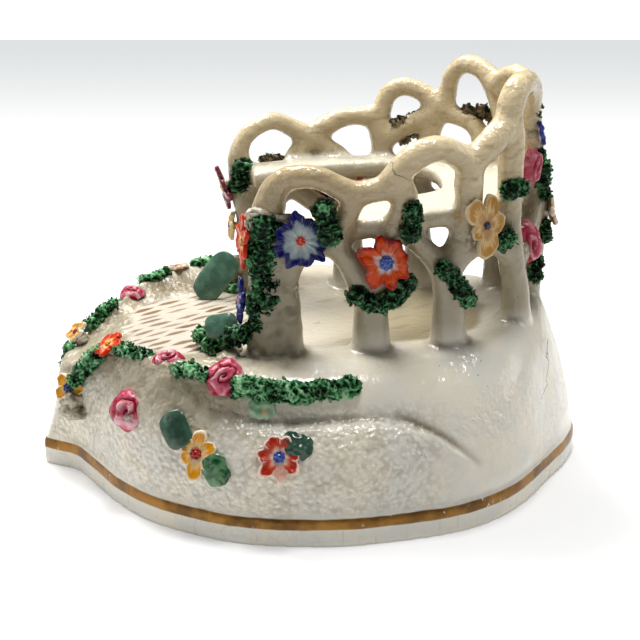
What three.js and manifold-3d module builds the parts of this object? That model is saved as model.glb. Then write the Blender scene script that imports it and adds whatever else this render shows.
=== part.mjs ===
// Encrusted porcelain garden bower: a mound with a gilt-edged foot, a seat on a lattice of rolled rods,
// and applied flowers and shredded leaves. It was fired as one piece, so it is one solid, faceted.
// Millimetres, +Z up, the open front at -Y, the origin at the middle of the underside.
import * as THREE from "three";
import { mergeVertices } from "three/addons/utils/BufferGeometryUtils.js";
import Module from "manifold-3d";

const wasm = await Module();
wasm.setup();

// Driving dimensions, in millimetres
const EDGE_HEIGHT = 7.3; // the upright edge round the foot, which carries the gilt line
const EDGE_ROUND = 0.8; // how far that edge is eased at its top
const FAR_RIM_LIFT = 3; // the mound's rim stands this much higher along the -X side
const SEAT_TOP = 73.7;
const SEAT_THICK = 4.8;
const SEAT_SAG = 2.3; // how far the seat's +X arm drops towards the front
const ROD_SWELL = 1.06; // a six-sided rod is drawn this much wider than the round one it stands for
const ROD_FLAT = 0.9; // thickness of a rod across the wall, as a share of its width along it
const LEAF_SPACING = 4.6; // distance between the clumps of a garland

// Fineness of the facets
const COLUMNS_PER_POINT = 2; // columns of the mound for each point of its outline
const ROWS = 14; // rows of the mound above its upright edge
const ROD_SIDES = 6;
const ROD_PITCH = 4.8; // length of a rod's facets
const FACETS = 9800; // triangles kept when the joined body is thinned

const V = (x, y, z) => new THREE.Vector3(x, y, z);

// A repeatable value from 0 to 1.
const rnd = (seed) => {
  const s = Math.sin(seed * 127.1 + 311.7) * 43758.5453;
  return s - Math.floor(s);
};

// Away from the inside of the bower, at a point of its plan.
const outward = (x, y) => V(x, Math.max(y - 12, 0) * 1.4, 0).normalize();

// A closed solid from points and triangles of point numbers.
function solid(points, triangles) {
  const vertProperties = new Float32Array(points.flatMap((p) => [p.x, p.y, p.z]));
  const triVerts = new Uint32Array(triangles.flat());
  const made = new wasm.Manifold(new wasm.Mesh({ numProp: 3, vertProperties, triVerts }));
  if (made.volume() < 0) throw new Error("a piece of the bower is inside out");
  return made;
}

// A solid from a three.js geometry, each point moved by `move`.
function shaped(geometry, move) {
  geometry.deleteAttribute("normal");
  geometry.deleteAttribute("uv");
  const merged = mergeVertices(geometry, 1e-4);
  const position = merged.getAttribute("position");
  const points = Array.from({ length: position.count }, (_, i) => V().fromBufferAttribute(position, i));
  const numbers = Array.from(merged.index.array);
  const triangles = numbers.filter((_, i) => i % 3 === 0).map((_, i) => numbers.slice(3 * i, 3 * i + 3));
  return solid(points.map(move), triangles);
}

// The matrix that sets a piece at `place`, its z axis along `normal` and its x axis near `along`.
function seating(place, normal, along = V(0, 0, 1)) {
  const n = normal.clone().normalize();
  const a = along.clone().addScaledVector(n, -along.dot(n)).normalize();
  return new THREE.Matrix4().makeBasis(a, V().crossVectors(n, a), n).setPosition(place);
}

// Thins a closed body: edges are merged, the flattest and shortest first, until `target` triangles are left.
// Each point carries the summed squared distance to the planes of the facets that it has stood for.
function thin(body, target) {
  const SHORT_EDGE_PULL = 2e-3; // cost of an edge's length against the error it makes
  const SLIVER = 0.03; // least height of a triangle
  const TURN = 0.5; // least cosine between a facet and what it becomes
  const mesh = body.getMesh();
  const size = mesh.numProp;
  const row = (i) => mesh.vertProperties.subarray(i * size, i * size + 3);
  const at = Array.from({ length: mesh.numVert }, (_, i) => V(...row(i)));
  const count = mesh.triVerts.length / 3;
  const tris = Array.from({ length: count }, (_, i) => Array.from(mesh.triVerts.subarray(3 * i, 3 * i + 3)));
  const faces = at.map(() => new Set());
  const planes = at.map(() => new Float64Array(10));
  const cross = ([a, b, c]) => b.clone().sub(a).cross(c.clone().sub(a));

  tris.forEach((t, f) => {
    const n = cross(t.map((v) => at[v]));
    const area = n.length() / 2;
    n.normalize();
    const plane = [n.x, n.y, n.z, -n.dot(at[t[0]])];
    for (const v of t) {
      faces[v].add(f);
      let q = 0;
      for (let a = 0; a < 4; a++) for (let b = a; b < 4; b++) planes[v][q++] += area * plane[a] * plane[b];
    }
  });

  const cost = (u, v, p) => {
    const h = [p.x, p.y, p.z, 1];
    let sum = 0;
    let q = 0;
    for (let a = 0; a < 4; a++)
      for (let b = a; b < 4; b++) {
        sum += (planes[u][q] + planes[v][q]) * h[a] * h[b] * (a === b ? 1 : 2);
        q++;
      }
    return Math.max(sum, 0) + SHORT_EDGE_PULL * at[u].distanceToSquared(at[v]);
  };
  const merge = (u, v) => {
    const middle = at[u].clone().lerp(at[v], 0.5);
    const ways = [at[u], at[v], middle].map((p) => ({ u, v, p, cost: cost(u, v, p) }));
    return ways.sort((x, y) => x.cost - y.cost)[0];
  };
  const around = (v) => new Set([...faces[v]].flatMap((f) => tris[f]).filter((x) => x !== v));
  const keepsShape = ({ u, v, p }) => {
    const [nearU, nearV] = [around(u), around(v)];
    if ([...nearU].filter((x) => nearV.has(x)).length !== 2) return false;
    return [[u, v], [v, u]].every(([from, other]) =>
      [...faces[from]].filter((f) => !tris[f].includes(other)).every((f) => {
        const before = tris[f].map((x) => at[x]);
        const after = tris[f].map((x) => (x === from ? p : at[x]));
        const [was, now] = [cross(before), cross(after)];
        const longest = Math.max(...after.map((x, i) => x.distanceTo(after[(i + 1) % 3])));
        return now.length() > SLIVER * longest && was.dot(now) >= TURN * was.length() * now.length();
      }),
    );
  };

  let left = count;
  while (left > target) {
    const before = left;
    const edges = [];
    for (const t of tris.filter(Boolean))
      t.forEach((u, i) => {
        const v = t[(i + 1) % 3];
        const bothOnFoot = at[u].z < 1e-4 === at[v].z < 1e-4; // the underside stays flat
        if (u < v && bothOnFoot) edges.push(merge(u, v));
      });
    edges.sort((x, y) => x.cost - y.cost);
    const touched = new Set();
    for (const edge of edges.slice(0, Math.ceil(edges.length / 6))) {
      if (left <= target) break;
      if (touched.has(edge.u) || touched.has(edge.v) || !keepsShape(edge)) continue;
      for (const x of [...around(edge.u), ...around(edge.v)]) touched.add(x);
      for (const f of [...faces[edge.v]]) {
        if (tris[f].includes(edge.u)) {
          for (const x of tris[f]) faces[x].delete(f);
          tris[f] = null;
          left--;
        } else {
          tris[f] = tris[f].map((x) => (x === edge.v ? edge.u : x));
          faces[edge.u].add(f);
        }
      }
      planes[edge.u] = planes[edge.u].map((x, i) => x + planes[edge.v][i]);
      at[edge.u] = edge.p.clone();
    }
    if (left === before) break;
  }
  const kept = tris.filter(Boolean);
  const used = [...new Set(kept.flat())];
  const number = new Map(used.map((v, i) => [v, i]));
  return solid(used.map((v) => at[v]), kept.map((t) => t.map((v) => number.get(v))));
}

// The mound's plan, right half, from the tip at the front to the middle of the back
const OUTLINE = [
  [0, -70.5], [2.9, -67.3], [6.5, -61.7], [13, -58], [20.5, -54.2], [26.5, -51], [32, -47.4], [37, -43.2],
  [41.8, -37.8], [46.4, -31], [50.2, -24], [52.8, -16], [54.4, -6], [55, 3], [54, 13], [52.2, 23],
  [49.3, 33], [43.5, 42.5], [34.5, 51.2], [24.5, 58.2], [12.5, 66.3], [0, 70.5],
];

// Profiles of the mound at ten of those points. The middle is where the floor's middle line stands for it,
// and each level is [inset from the outline towards the middle, height].
const PROFILES = [
  // point, middle y and z, skirt, shelf, fold, wall, rim, bank, floor
  [0, -44, 36.9, [2.3, 11], [3.9, 17], [5.1, 23], [5.9, 26.4], [7.5, 28.4], [10.5, 29.8], [23.5, 36.6]],
  [2, -43, 36.9, [-0.5, 11], [-0.8, 17], [-0.5, 23.5], [-0.1, 27.5], [0.8, 30], [3.8, 30.6], [15.8, 36.6]],
  [4, -40.5, 37, [0.1, 14], [1.1, 22], [2.9, 30], [4.8, 34.8], [6.2, 36.7], [8.4, 36], [13, 36.8]],
  [7, -33, 37.3, [0.4, 15.5], [1.8, 24], [4.5, 32.4], [7.2, 36.8], [9.3, 38.7], [12.5, 38.4], [17.7, 37.1]],
  [9, -24.5, 37.6, [1.1, 15.5], [3.8, 25], [7.4, 31], [9.4, 35.8], [11.2, 38.6], [15, 38.8], [23.7, 37.4]],
  [11, -13, 38, [1.6, 14], [7.2, 25.4], [9.7, 26.9], [10.4, 32.6], [12.8, 37], [18.8, 38.5], [29.5, 38.1]],
  [14, 12, 38.2, [1.6, 13.8], [7.9, 24.6], [9.9, 25.9], [11.2, 31.4], [14, 36], [21, 38.4], [32.2, 38.3]],
  [16, 26.5, 38.3, [0.3, 13], [1.2, 19.4], [2.8, 22], [8.4, 32], [15.6, 37], [19.9, 38.8], [29.9, 38.4]],
  [18, 35, 38.6, [-0.4, 13], [-0.1, 20], [0.9, 24.5], [3.9, 33], [9.5, 39.2], [13.7, 40.5], [23.6, 39]],
  [21, 41, 39.2, [1.7, 14], [3.3, 20.5], [4.7, 25.5], [7.6, 34.5], [12.2, 44.6], [16.9, 43.8], [24.5, 39.7]],
];
const FRONT_SPREAD = 0.8; // how far the front columns aim beside the middle, so that the floor's end is broad
const LIFTS = [0, 0, 0, 0.8, 1, 0.45, 0]; // share of FAR_RIM_LIFT that each level takes

function mound() {
  const half = (OUTLINE.length - 1) * COLUMNS_PER_POINT;
  const columns = half * 2;
  const right = OUTLINE.map(([x, y]) => V(x, y, 0));
  const left = right.slice(1, -1).reverse().map((p) => V(-p.x, p.y, 0));
  const plan = new THREE.CatmullRomCurve3([...right, ...left], true, "catmullrom", 0.5);
  const points = PROFILES.map((p) => p[0]);
  const values = PROFILES.flatMap((p) => p.slice(1).flat());
  const profiles = new THREE.CubicInterpolant(points, values, values.length / points.length);
  const swell = (y) => Math.min(Math.max((y + 46) / 22, 0), 1) * Math.min(Math.max((44 - y) / 20, 0), 1);

  const rings = Array.from({ length: ROWS + 3 }, () => []);
  const middles = [];
  for (let c = 0; c < columns; c++) {
    const foot = plan.getPoint(c / columns);
    const along = (c > half ? columns - c : c) / COLUMNS_PER_POINT;
    const [middleY, middleZ, ...levels] = Array.from(profiles.evaluate(along));
    const aim = V(foot.x * FRONT_SPREAD * Math.max(0, 1 - along / 5), middleY, 0);
    const inward = aim.sub(foot).normalize();
    const lift = c > half ? FAR_RIM_LIFT * swell(foot.y) : 0;
    const at = (inset, z) => foot.clone().addScaledVector(inward, inset).setZ(z);
    const steps = LIFTS.map((share, i) => at(levels[2 * i], levels[2 * i + 1] + share * lift));
    const profile = new THREE.CatmullRomCurve3([at(EDGE_ROUND, EDGE_HEIGHT), ...steps], false, "centripetal");
    rings[0].push(foot);
    rings[1].push(foot.clone().setZ(EDGE_HEIGHT - EDGE_ROUND));
    profile.getPoints(ROWS).forEach((p, i) => rings[i + 2].push(p));
    middles.push(V(0, middleY, middleZ));
  }

  const vertices = rings.flat();
  const tris = [];
  for (let r = 0; r + 1 < rings.length; r++)
    for (let c = 0; c < columns; c++) {
      const [a, b] = [r * columns + c, r * columns + ((c + 1) % columns)];
      tris.push([a, b, b + columns], [a, b + columns, a + columns]);
    }
  // The floor and the underside fan in to the middle line, which both halves share.
  const close = (ring, line, up) => {
    const start = ring * columns;
    const base = vertices.length;
    vertices.push(...line);
    for (let c = 0; c < columns; c++) {
      const next = (c + 1) % columns;
      const [s, t] = [c, next].map((x) => base + (x > half ? columns - x : x));
      for (const [p, q, m] of [[start + c, start + next, t], [start + c, t, s]])
        if (q !== m) tris.push(up ? [p, q, m] : [q, p, m]);
    }
  };
  const middleLine = middles.slice(0, half + 1);
  close(rings.length - 1, middleLine, true);
  close(0, middleLine.map((p) => p.clone().setZ(0)), false);
  return solid(vertices, tris);
}

// A rolled rod through [x, y, z, radius] points.
function rod(path) {
  const curve = new THREE.CatmullRomCurve3(path.map(([x, y, z]) => V(x, y, z)), false, "centripetal");
  const steps = Math.max(2, Math.round(curve.getLength() / ROD_PITCH));
  const points = [];
  const tris = [];
  for (let i = 0; i <= steps; i++) {
    const centre = curve.getPoint(i / steps);
    const tangent = curve.getTangent(i / steps);
    const u = (i / steps) * (path.length - 1);
    const j = Math.min(Math.floor(u), path.length - 2);
    const radius = ROD_SWELL * THREE.MathUtils.lerp(path[j][3], path[j + 1][3], u - j);
    const side = V().crossVectors(tangent, outward(centre.x, centre.y)).normalize();
    const out = V().crossVectors(side, tangent).normalize();
    for (let k = 0; k < ROD_SIDES; k++) {
      const a = (2 * Math.PI * k) / ROD_SIDES;
      const p = centre.clone().addScaledVector(side, radius * Math.cos(a));
      points.push(p.addScaledVector(out, radius * ROD_FLAT * Math.sin(a)));
    }
  }
  for (let i = 0; i < steps; i++)
    for (let k = 0; k < ROD_SIDES; k++) {
      const a = i * ROD_SIDES + k;
      const b = i * ROD_SIDES + ((k + 1) % ROD_SIDES);
      tris.push([a, b + ROD_SIDES, b], [a, a + ROD_SIDES, b + ROD_SIDES]);
    }
  const last = steps * ROD_SIDES;
  for (let k = 1; k + 1 < ROD_SIDES; k++) tris.push([0, k, k + 1], [last, last + k + 1, last + k]);
  return solid(points, tris);
}

// Rods of the +X side, as [x, y, z, radius] points: the front post, the rail's arches, their stems and feet
const NEAR = {
  post: [
    [25.2, -12.6, 36, 5], [25.2, -12.8, 46, 4.8], [25.1, -13, 58, 4.4], [25.1, -12.9, 68, 4],
    [25.4, -12.2, 76, 3.7],
  ],
  post_back: [
    [25.2, -8.6, 36, 4.8], [25.3, -8.8, 46, 4.4], [25.4, -9.2, 56, 3.7], [25.4, -10.6, 65, 3.1],
    [25.4, -11.8, 73, 2.8],
  ],
  n1: [
    [25.4, -12, 75, 3.8], [25.9, -11, 78.9, 3.3], [26.9, -8.8, 81.5, 2.9], [28.6, -4.4, 83, 2.7],
    [29.7, -0.4, 82.7, 2.7], [30.2, 3, 81.1, 2.6], [30.3, 7.6, 78.7, 3],
  ],
  n2: [[30.3, 6, 78.8, 2.6], [30.3, 12, 79.6, 3], [30.2, 18, 80.8, 3.1]],
  n3: [
    [30.4, 15.6, 81.3, 3.2], [30.7, 20.2, 86.3, 3.4], [30.3, 23.8, 88.5, 3.4], [29.6, 27.4, 89.1, 3.2],
    [28.5, 30.8, 87.9, 3.2], [26.3, 35.6, 84.1, 3.5],
  ],
  n4: [[26.4, 35.2, 84.2, 2.6], [25.6, 37.4, 86.8, 2.5], [24, 40.5, 89.4, 2.5], [20.6, 45.2, 93, 2.6]],
  n5: [
    [20.6, 45.2, 92.3, 2.5], [20.2, 45.8, 96.7, 2.8], [18.4, 47.4, 100.5, 2.7], [14, 50.4, 101.5, 2.4],
    [8, 53, 99.7, 2.3], [3.4, 54.6, 95.7, 2.3], [0, 55, 90.7, 2.5],
  ],
  t1: [
    [30.3, 7.4, 79.6, 2.9], [29.8, 7, 76, 2.7], [29.2, 5.4, 72.4, 2.7], [28.5, 3.8, 68.4, 2.7],
    [28.1, 4.6, 64.7, 2.9], [27.4, 7.4, 60, 3.1], [26.4, 11.6, 52, 3.8],
  ],
  p1: [[26.8, 12.2, 57, 3.2], [25.8, 12.4, 48, 4.1], [24.6, 12.6, 36, 4.5]],
  p1r: [[26.2, 12.4, 51, 3.3], [27.2, 14.6, 58, 2.9], [28, 15.8, 63, 2.5], [28.8, 17, 70.5, 2.4]],
  t2: [
    [30.3, 17.4, 82, 3.2], [29.6, 19.4, 78, 3.4], [29.1, 18.8, 74, 2.9], [28.6, 16.8, 70, 2.7],
    [28.2, 15.9, 66, 2.6],
  ],
  p2l: [
    [29.2, 18.9, 74.5, 2.7], [28.5, 20.2, 69.8, 2.6], [27.7, 22.7, 66.4, 2.6], [27, 25.8, 63.2, 2.7],
    [26, 29, 58.6, 2.9], [25.2, 30.8, 53, 3.4],
  ],
  p2: [[25.4, 31.1, 56, 3.4], [24.3, 31.6, 46.5, 4.1], [23.2, 32, 35.5, 4.6]],
  t3: [
    [26.3, 35.6, 85, 3.2], [26.1, 35.4, 80, 3.5], [25.8, 35.4, 75, 3.3], [25.7, 34.8, 71, 3.1],
    [25.6, 33.6, 66.5, 2.9], [25.6, 31.8, 60, 3.1], [25.3, 31, 53.5, 3.2],
  ],
  t4: [
    [20.4, 45.4, 93.4, 2.9], [19.6, 46.3, 89, 2.7], [19.3, 46.4, 82, 2.6], [19, 46.6, 75, 2.7],
    [18.4, 47.1, 67, 2.8], [17.4, 48, 60, 3], [16.2, 49, 54, 3.3],
  ],
  p3: [[16.8, 48.6, 57.5, 3], [14.6, 50.2, 49, 3.5], [13, 51, 38, 3.9]],
  l1: [[25.6, -8, 57.5, 3], [26.3, -5.6, 62.2, 2.6], [27.3, -1.2, 65.4, 2.5], [28.2, 4, 65.4, 2.6]],
  l3: [
    [25.3, 32.4, 58.5, 2.6], [24.5, 36.4, 62.4, 2.4], [22.9, 40.2, 63.2, 2.4], [20.3, 44.6, 62, 2.5],
    [17.4, 48, 58.5, 2.8],
  ],
  back: [[16, 49.2, 55.5, 2.7], [9.6, 53.4, 60.5, 2.5], [3, 56.6, 66.5, 2.6], [0, 57.6, 70, 2.6]],
};

// Rods of the -X side and the back
const FAR = {
  post: [
    [-24.6, -12.4, 36, 4.8], [-24.6, -12.8, 46, 4.4], [-24.5, -14.2, 58, 4], [-24.4, -16.4, 68, 3.5],
    [-24.4, -17.2, 75, 2.9],
  ],
  post_back: [
    [-24.6, -8.4, 36, 4.5], [-24.6, -8.8, 46, 4.1], [-24.6, -10.6, 58, 3.5], [-24.5, -14, 70, 2.8],
  ],
  f1: [
    [-24.4, -17.6, 72.4, 3.1], [-24.5, -16.8, 77.2, 2.6], [-25, -14.6, 80.8, 2.5],
    [-26.4, -11.2, 82.8, 2.4], [-27.8, -7.5, 83.5, 2.4], [-28.9, -3.4, 81.7, 2.5],
    [-29.7, 2.2, 78.4, 2.9],
  ],
  f2: [
    [-29.8, 1.8, 78.6, 2.8], [-30.5, 6.3, 81.2, 3], [-30.8, 10, 83.1, 2.8], [-30.8, 14, 83.8, 2.4],
    [-30.3, 19.6, 83.8, 2.8],
  ],
  f3: [
    [-30.1, 20, 82.1, 2.8], [-30.3, 21.7, 85.7, 2.5], [-30.6, 22.6, 88.7, 2.4],
    [-30.5, 24.7, 90.8, 2.4], [-29.8, 27.8, 91.7, 2.4], [-28.8, 31, 90.9, 2.4],
    [-27.4, 34.2, 89.1, 2.5], [-25.9, 37, 87.1, 3.1],
  ],
  f4: [
    [-25.7, 37.6, 86.1, 3], [-25.5, 38.6, 89.9, 2.5], [-25.4, 39, 93.5, 2.5], [-24.8, 40, 96.5, 2.5],
    [-23.1, 42.5, 98.7, 2.6], [-20.6, 45.4, 98.5, 2.8], [-18.1, 47.7, 96.9, 2.8],
    [-15.2, 49.8, 94.3, 2.9],
  ],
  f4d: [
    [-18.8, 47, 97.2, 2.5], [-16.4, 49.2, 92.7, 2.5], [-14.2, 50.6, 87.5, 2.5], [-12.8, 51.4, 80, 2.5],
    [-12.4, 51.6, 70, 2.7], [-12.6, 51.2, 57, 3.1],
  ],
  f5: [
    [-15.8, 49.4, 94, 2.6], [-13.8, 50.6, 96.4, 2.5], [-10.8, 52, 98.3, 2.5], [-6.4, 53.6, 99, 2.5],
    [-2.4, 54.8, 97, 2.5], [0, 55, 91.4, 2.6],
  ],
  t1l: [
    [-29.8, 2.4, 78.7, 2.8], [-29, 0, 76, 2.6], [-28, -2.7, 72.3, 2.6], [-27.2, -3.4, 67.2, 2.6],
    [-27.3, 1, 62.7, 2.9], [-27.2, 7.2, 58.2, 3.1], [-26.4, 11.6, 51.7, 3.7],
  ],
  t1r: [
    [-29.7, 2.6, 78.7, 2.8], [-29.7, 6.6, 75.7, 2.5], [-29.3, 10.6, 72.9, 2.5],
    [-28.2, 12.4, 65.7, 2.6], [-26.8, 12.6, 55.7, 3.2],
  ],
  p1: [[-26.6, 12.4, 58, 3], [-25.8, 12.4, 48, 4], [-24.6, 12.6, 36, 4.5]],
  t2: [
    [-30.2, 20, 84.1, 2.8], [-29.8, 20.9, 80.2, 2.8], [-29.2, 21.6, 75.7, 2.7],
    [-28.4, 21.2, 69.7, 2.6], [-27.4, 17.6, 62.7, 2.6], [-26.4, 13.4, 54.7, 2.9],
  ],
  t2r: [[-29.9, 20.9, 81.1, 2.3], [-29.2, 24, 79.1, 2.2], [-28.4, 27.6, 79.7, 2.2]],
  t3l: [
    [-26, 36.9, 87.2, 3], [-26.9, 34, 83.4, 2.8], [-28, 30.1, 80.8, 2.6], [-28.8, 25.6, 77.6, 2.6],
    [-28.9, 22.2, 73.2, 2.8],
  ],
  t3: [
    [-26, 36.9, 87.8, 3], [-26.4, 35.2, 82, 2.6], [-26.7, 33.6, 76.5, 2.6], [-26.4, 32.6, 69, 2.6],
    [-25.8, 31.4, 60, 3], [-25.3, 31, 53, 3.4],
  ],
  p2l: [[-28.6, 21.6, 72.5, 2.3], [-27.9, 22.7, 67, 2.3], [-27, 26, 63, 2.4], [-25.6, 30.2, 55, 2.8]],
  p2: [[-25.4, 31.1, 57, 3.2], [-24.3, 31.6, 46.5, 4], [-23.2, 32, 35.5, 4.5]],
  t3r: [
    [-26, 37.2, 87.3, 2.9], [-24.4, 39.6, 85.3, 2.5], [-22, 43, 84.3, 2.5], [-19.6, 45.6, 82.3, 2.5],
    [-18.2, 47, 76.7, 2.5], [-17.2, 48, 65.7, 2.6], [-15, 49.8, 55.7, 3.1],
  ],
  p3: [[-14.2, 50.2, 58.5, 3], [-13.4, 50.8, 49, 3.5], [-12.6, 51, 38, 3.9]],
  l1: [[-25, -9.6, 57, 2.5], [-26, -6.2, 62.6, 2.2], [-27.2, -3, 66, 2.2]],
  l3: [
    [-25.3, 32.4, 58.5, 2.3], [-24.3, 37, 62.6, 2.1], [-22, 41.6, 63.2, 2.1], [-18.6, 46.2, 60.5, 2.3],
    [-14.6, 50, 55, 2.5],
  ],
  back: [[-13.4, 51, 55.5, 2.7], [-8, 54, 61, 2.5], [-2.6, 56.8, 66.5, 2.6], [0, 57.6, 70, 2.6]],
  t5: [
    [0, 55, 92.5, 2.6], [0, 55.8, 86, 2.6], [0, 57, 76, 2.8], [0, 57.8, 66, 3.2], [0, 57, 55, 3.4],
    [0, 55.2, 41, 4],
  ],
};

// The seat: a thick slab with a rounded cut, running round inside the lattice
const SEAT_OUT = [
  [21, -13.4], [24.6, -13.6], [26.4, -8], [28.2, 0], [29.2, 8], [29.2, 18], [28.4, 26], [26.2, 34.6],
  [22.4, 42], [17.4, 48], [10.4, 52.6], [0, 54.6], [-10.4, 52.6], [-17, 48], [-22.6, 41], [-26.6, 33.6],
  [-28.8, 26], [-29.4, 16], [-28.8, 8], [-27.6, -2], [-25.6, -9], [-24.2, -14.4], [-11, -14],
];
const SEAT_CUT = [
  [-11.4, -12], [-15.6, -4.4], [-19.8, 6], [-21, 15], [-21, 24], [-18.6, 29.4], [-12.6, 32.6],
  [-2.4, 33.2], [5.6, 31.2], [9.8, 27], [12.4, 20], [14.4, 13], [18.4, 6], [21, -1], [21.6, -8],
];

function seat() {
  const { smoothstep } = THREE.MathUtils;
  const plan = new THREE.Shape([...SEAT_OUT, ...SEAT_CUT].map(([x, y]) => new THREE.Vector2(x, y)));
  const slab = new THREE.ExtrudeGeometry(plan, { depth: SEAT_THICK, bevelEnabled: false });
  return shaped(slab, (p) => {
    const sag = SEAT_SAG * smoothstep(p.x, 0, 26) * smoothstep(-p.y, -26, -4);
    return p.setZ(p.z + SEAT_TOP - SEAT_THICK - sag);
  });
}

// Applied work

// A jagged ball: [x, y, z, half sizes along x, y and z]
function clump([x, y, z, rx, ry, rz], index) {
  return shaped(new THREE.IcosahedronGeometry(1), (p, i) => {
    const f = 0.9 + 0.4 * rnd(index * 7.3 + i * 1.7);
    return V(x + p.x * rx * f, y + p.y * ry * f, z + p.z * rz * f);
  });
}

// Clumps of shredded leaf strung along a path, each with the given half sizes.
function garland({ path, half = [2.4, 3, 2.8] }) {
  const curve = new THREE.CatmullRomCurve3(path.map(([x, y, z]) => V(x, y, z)), false, "centripetal");
  const steps = Math.max(1, Math.round(curve.getLength() / LEAF_SPACING));
  const shift = (seed) => 1.2 * (rnd(seed) - 0.5);
  return curve.getSpacedPoints(steps).map((p, i) => {
    const place = [p.x + 0.4 * shift(p.y + i), p.y + shift(p.y + i + 1), p.z + shift(p.y + i + 2)];
    return [...place, ...half];
  });
}

// Pointed petals round a button: [x, y, z, normal x, y, z, radius, petals]
function flower([x, y, z, nx, ny, nz, radius, petals]) {
  const rim = petals * 2;
  const points = [V(0, 0, 0.5), V(0, 0, -3.2)];
  const tris = [];
  for (let i = 0; i < rim; i++) {
    const tip = i % 2 === 0;
    const r = radius * (tip ? 0.9 + 0.2 * rnd(i + radius * 3 + z) : 0.64);
    const a = (2 * Math.PI * i) / rim;
    const next = 2 + ((i + 1) % rim);
    points.push(V(r * Math.cos(a), r * Math.sin(a), tip ? 1.5 * rnd(i * 1.7 + y) : 0.7));
    tris.push([0, 2 + i, next], [1, next, 2 + i]);
  }
  const place = seating(V(x, y, z), V(nx, ny, nz));
  const bud = (p) => V(p.x * radius * 0.27, p.y * radius * 0.27, p.z * 1.5 + 0.3).applyMatrix4(place);
  const button = shaped(new THREE.OctahedronGeometry(1), bud);
  return solid(points.map((p) => p.applyMatrix4(place)), tris).add(button);
}

// A rolled rose, flattened against its ground: [x, y, z, normal x, y, z, radius]
function rose([x, y, z, nx, ny, nz, radius], index) {
  const place = seating(V(x, y, z), V(nx, ny, nz));
  return shaped(new THREE.OctahedronGeometry(1, 1), (p, i) => {
    const f = radius * (0.92 + 0.2 * rnd(index * 3.1 + i));
    return V(p.x * f, p.y * f * 0.86, p.z * f * 0.6).applyMatrix4(place);
  });
}

// A smooth leaf: [x, y, z, normal x, y, z, direction of its tip x, y, z, length, width]
const LEAF_EDGE = [
  [-0.5, 0], [-0.34, 0.42], [0.2, 0.5], [0.5, 0.1], [0.5, -0.12], [0.2, -0.5], [-0.34, -0.42],
];
function leaf([x, y, z, nx, ny, nz, ax, ay, az, length, width]) {
  const place = seating(V(x, y, z), V(nx, ny, nz), V(ax, ay, az));
  const points = [V(0, 0, 1), V(0, 0, -2.4), ...LEAF_EDGE.map(([u, v]) => V(u * length, v * width, 0.5))];
  const tris = LEAF_EDGE.flatMap((_, i) => {
    const [a, b] = [2 + i, 2 + ((i + 1) % LEAF_EDGE.length)];
    return [[0, b, a], [1, a, b]];
  });
  return solid(points.map((p) => p.applyMatrix4(place)), tris);
}

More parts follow.
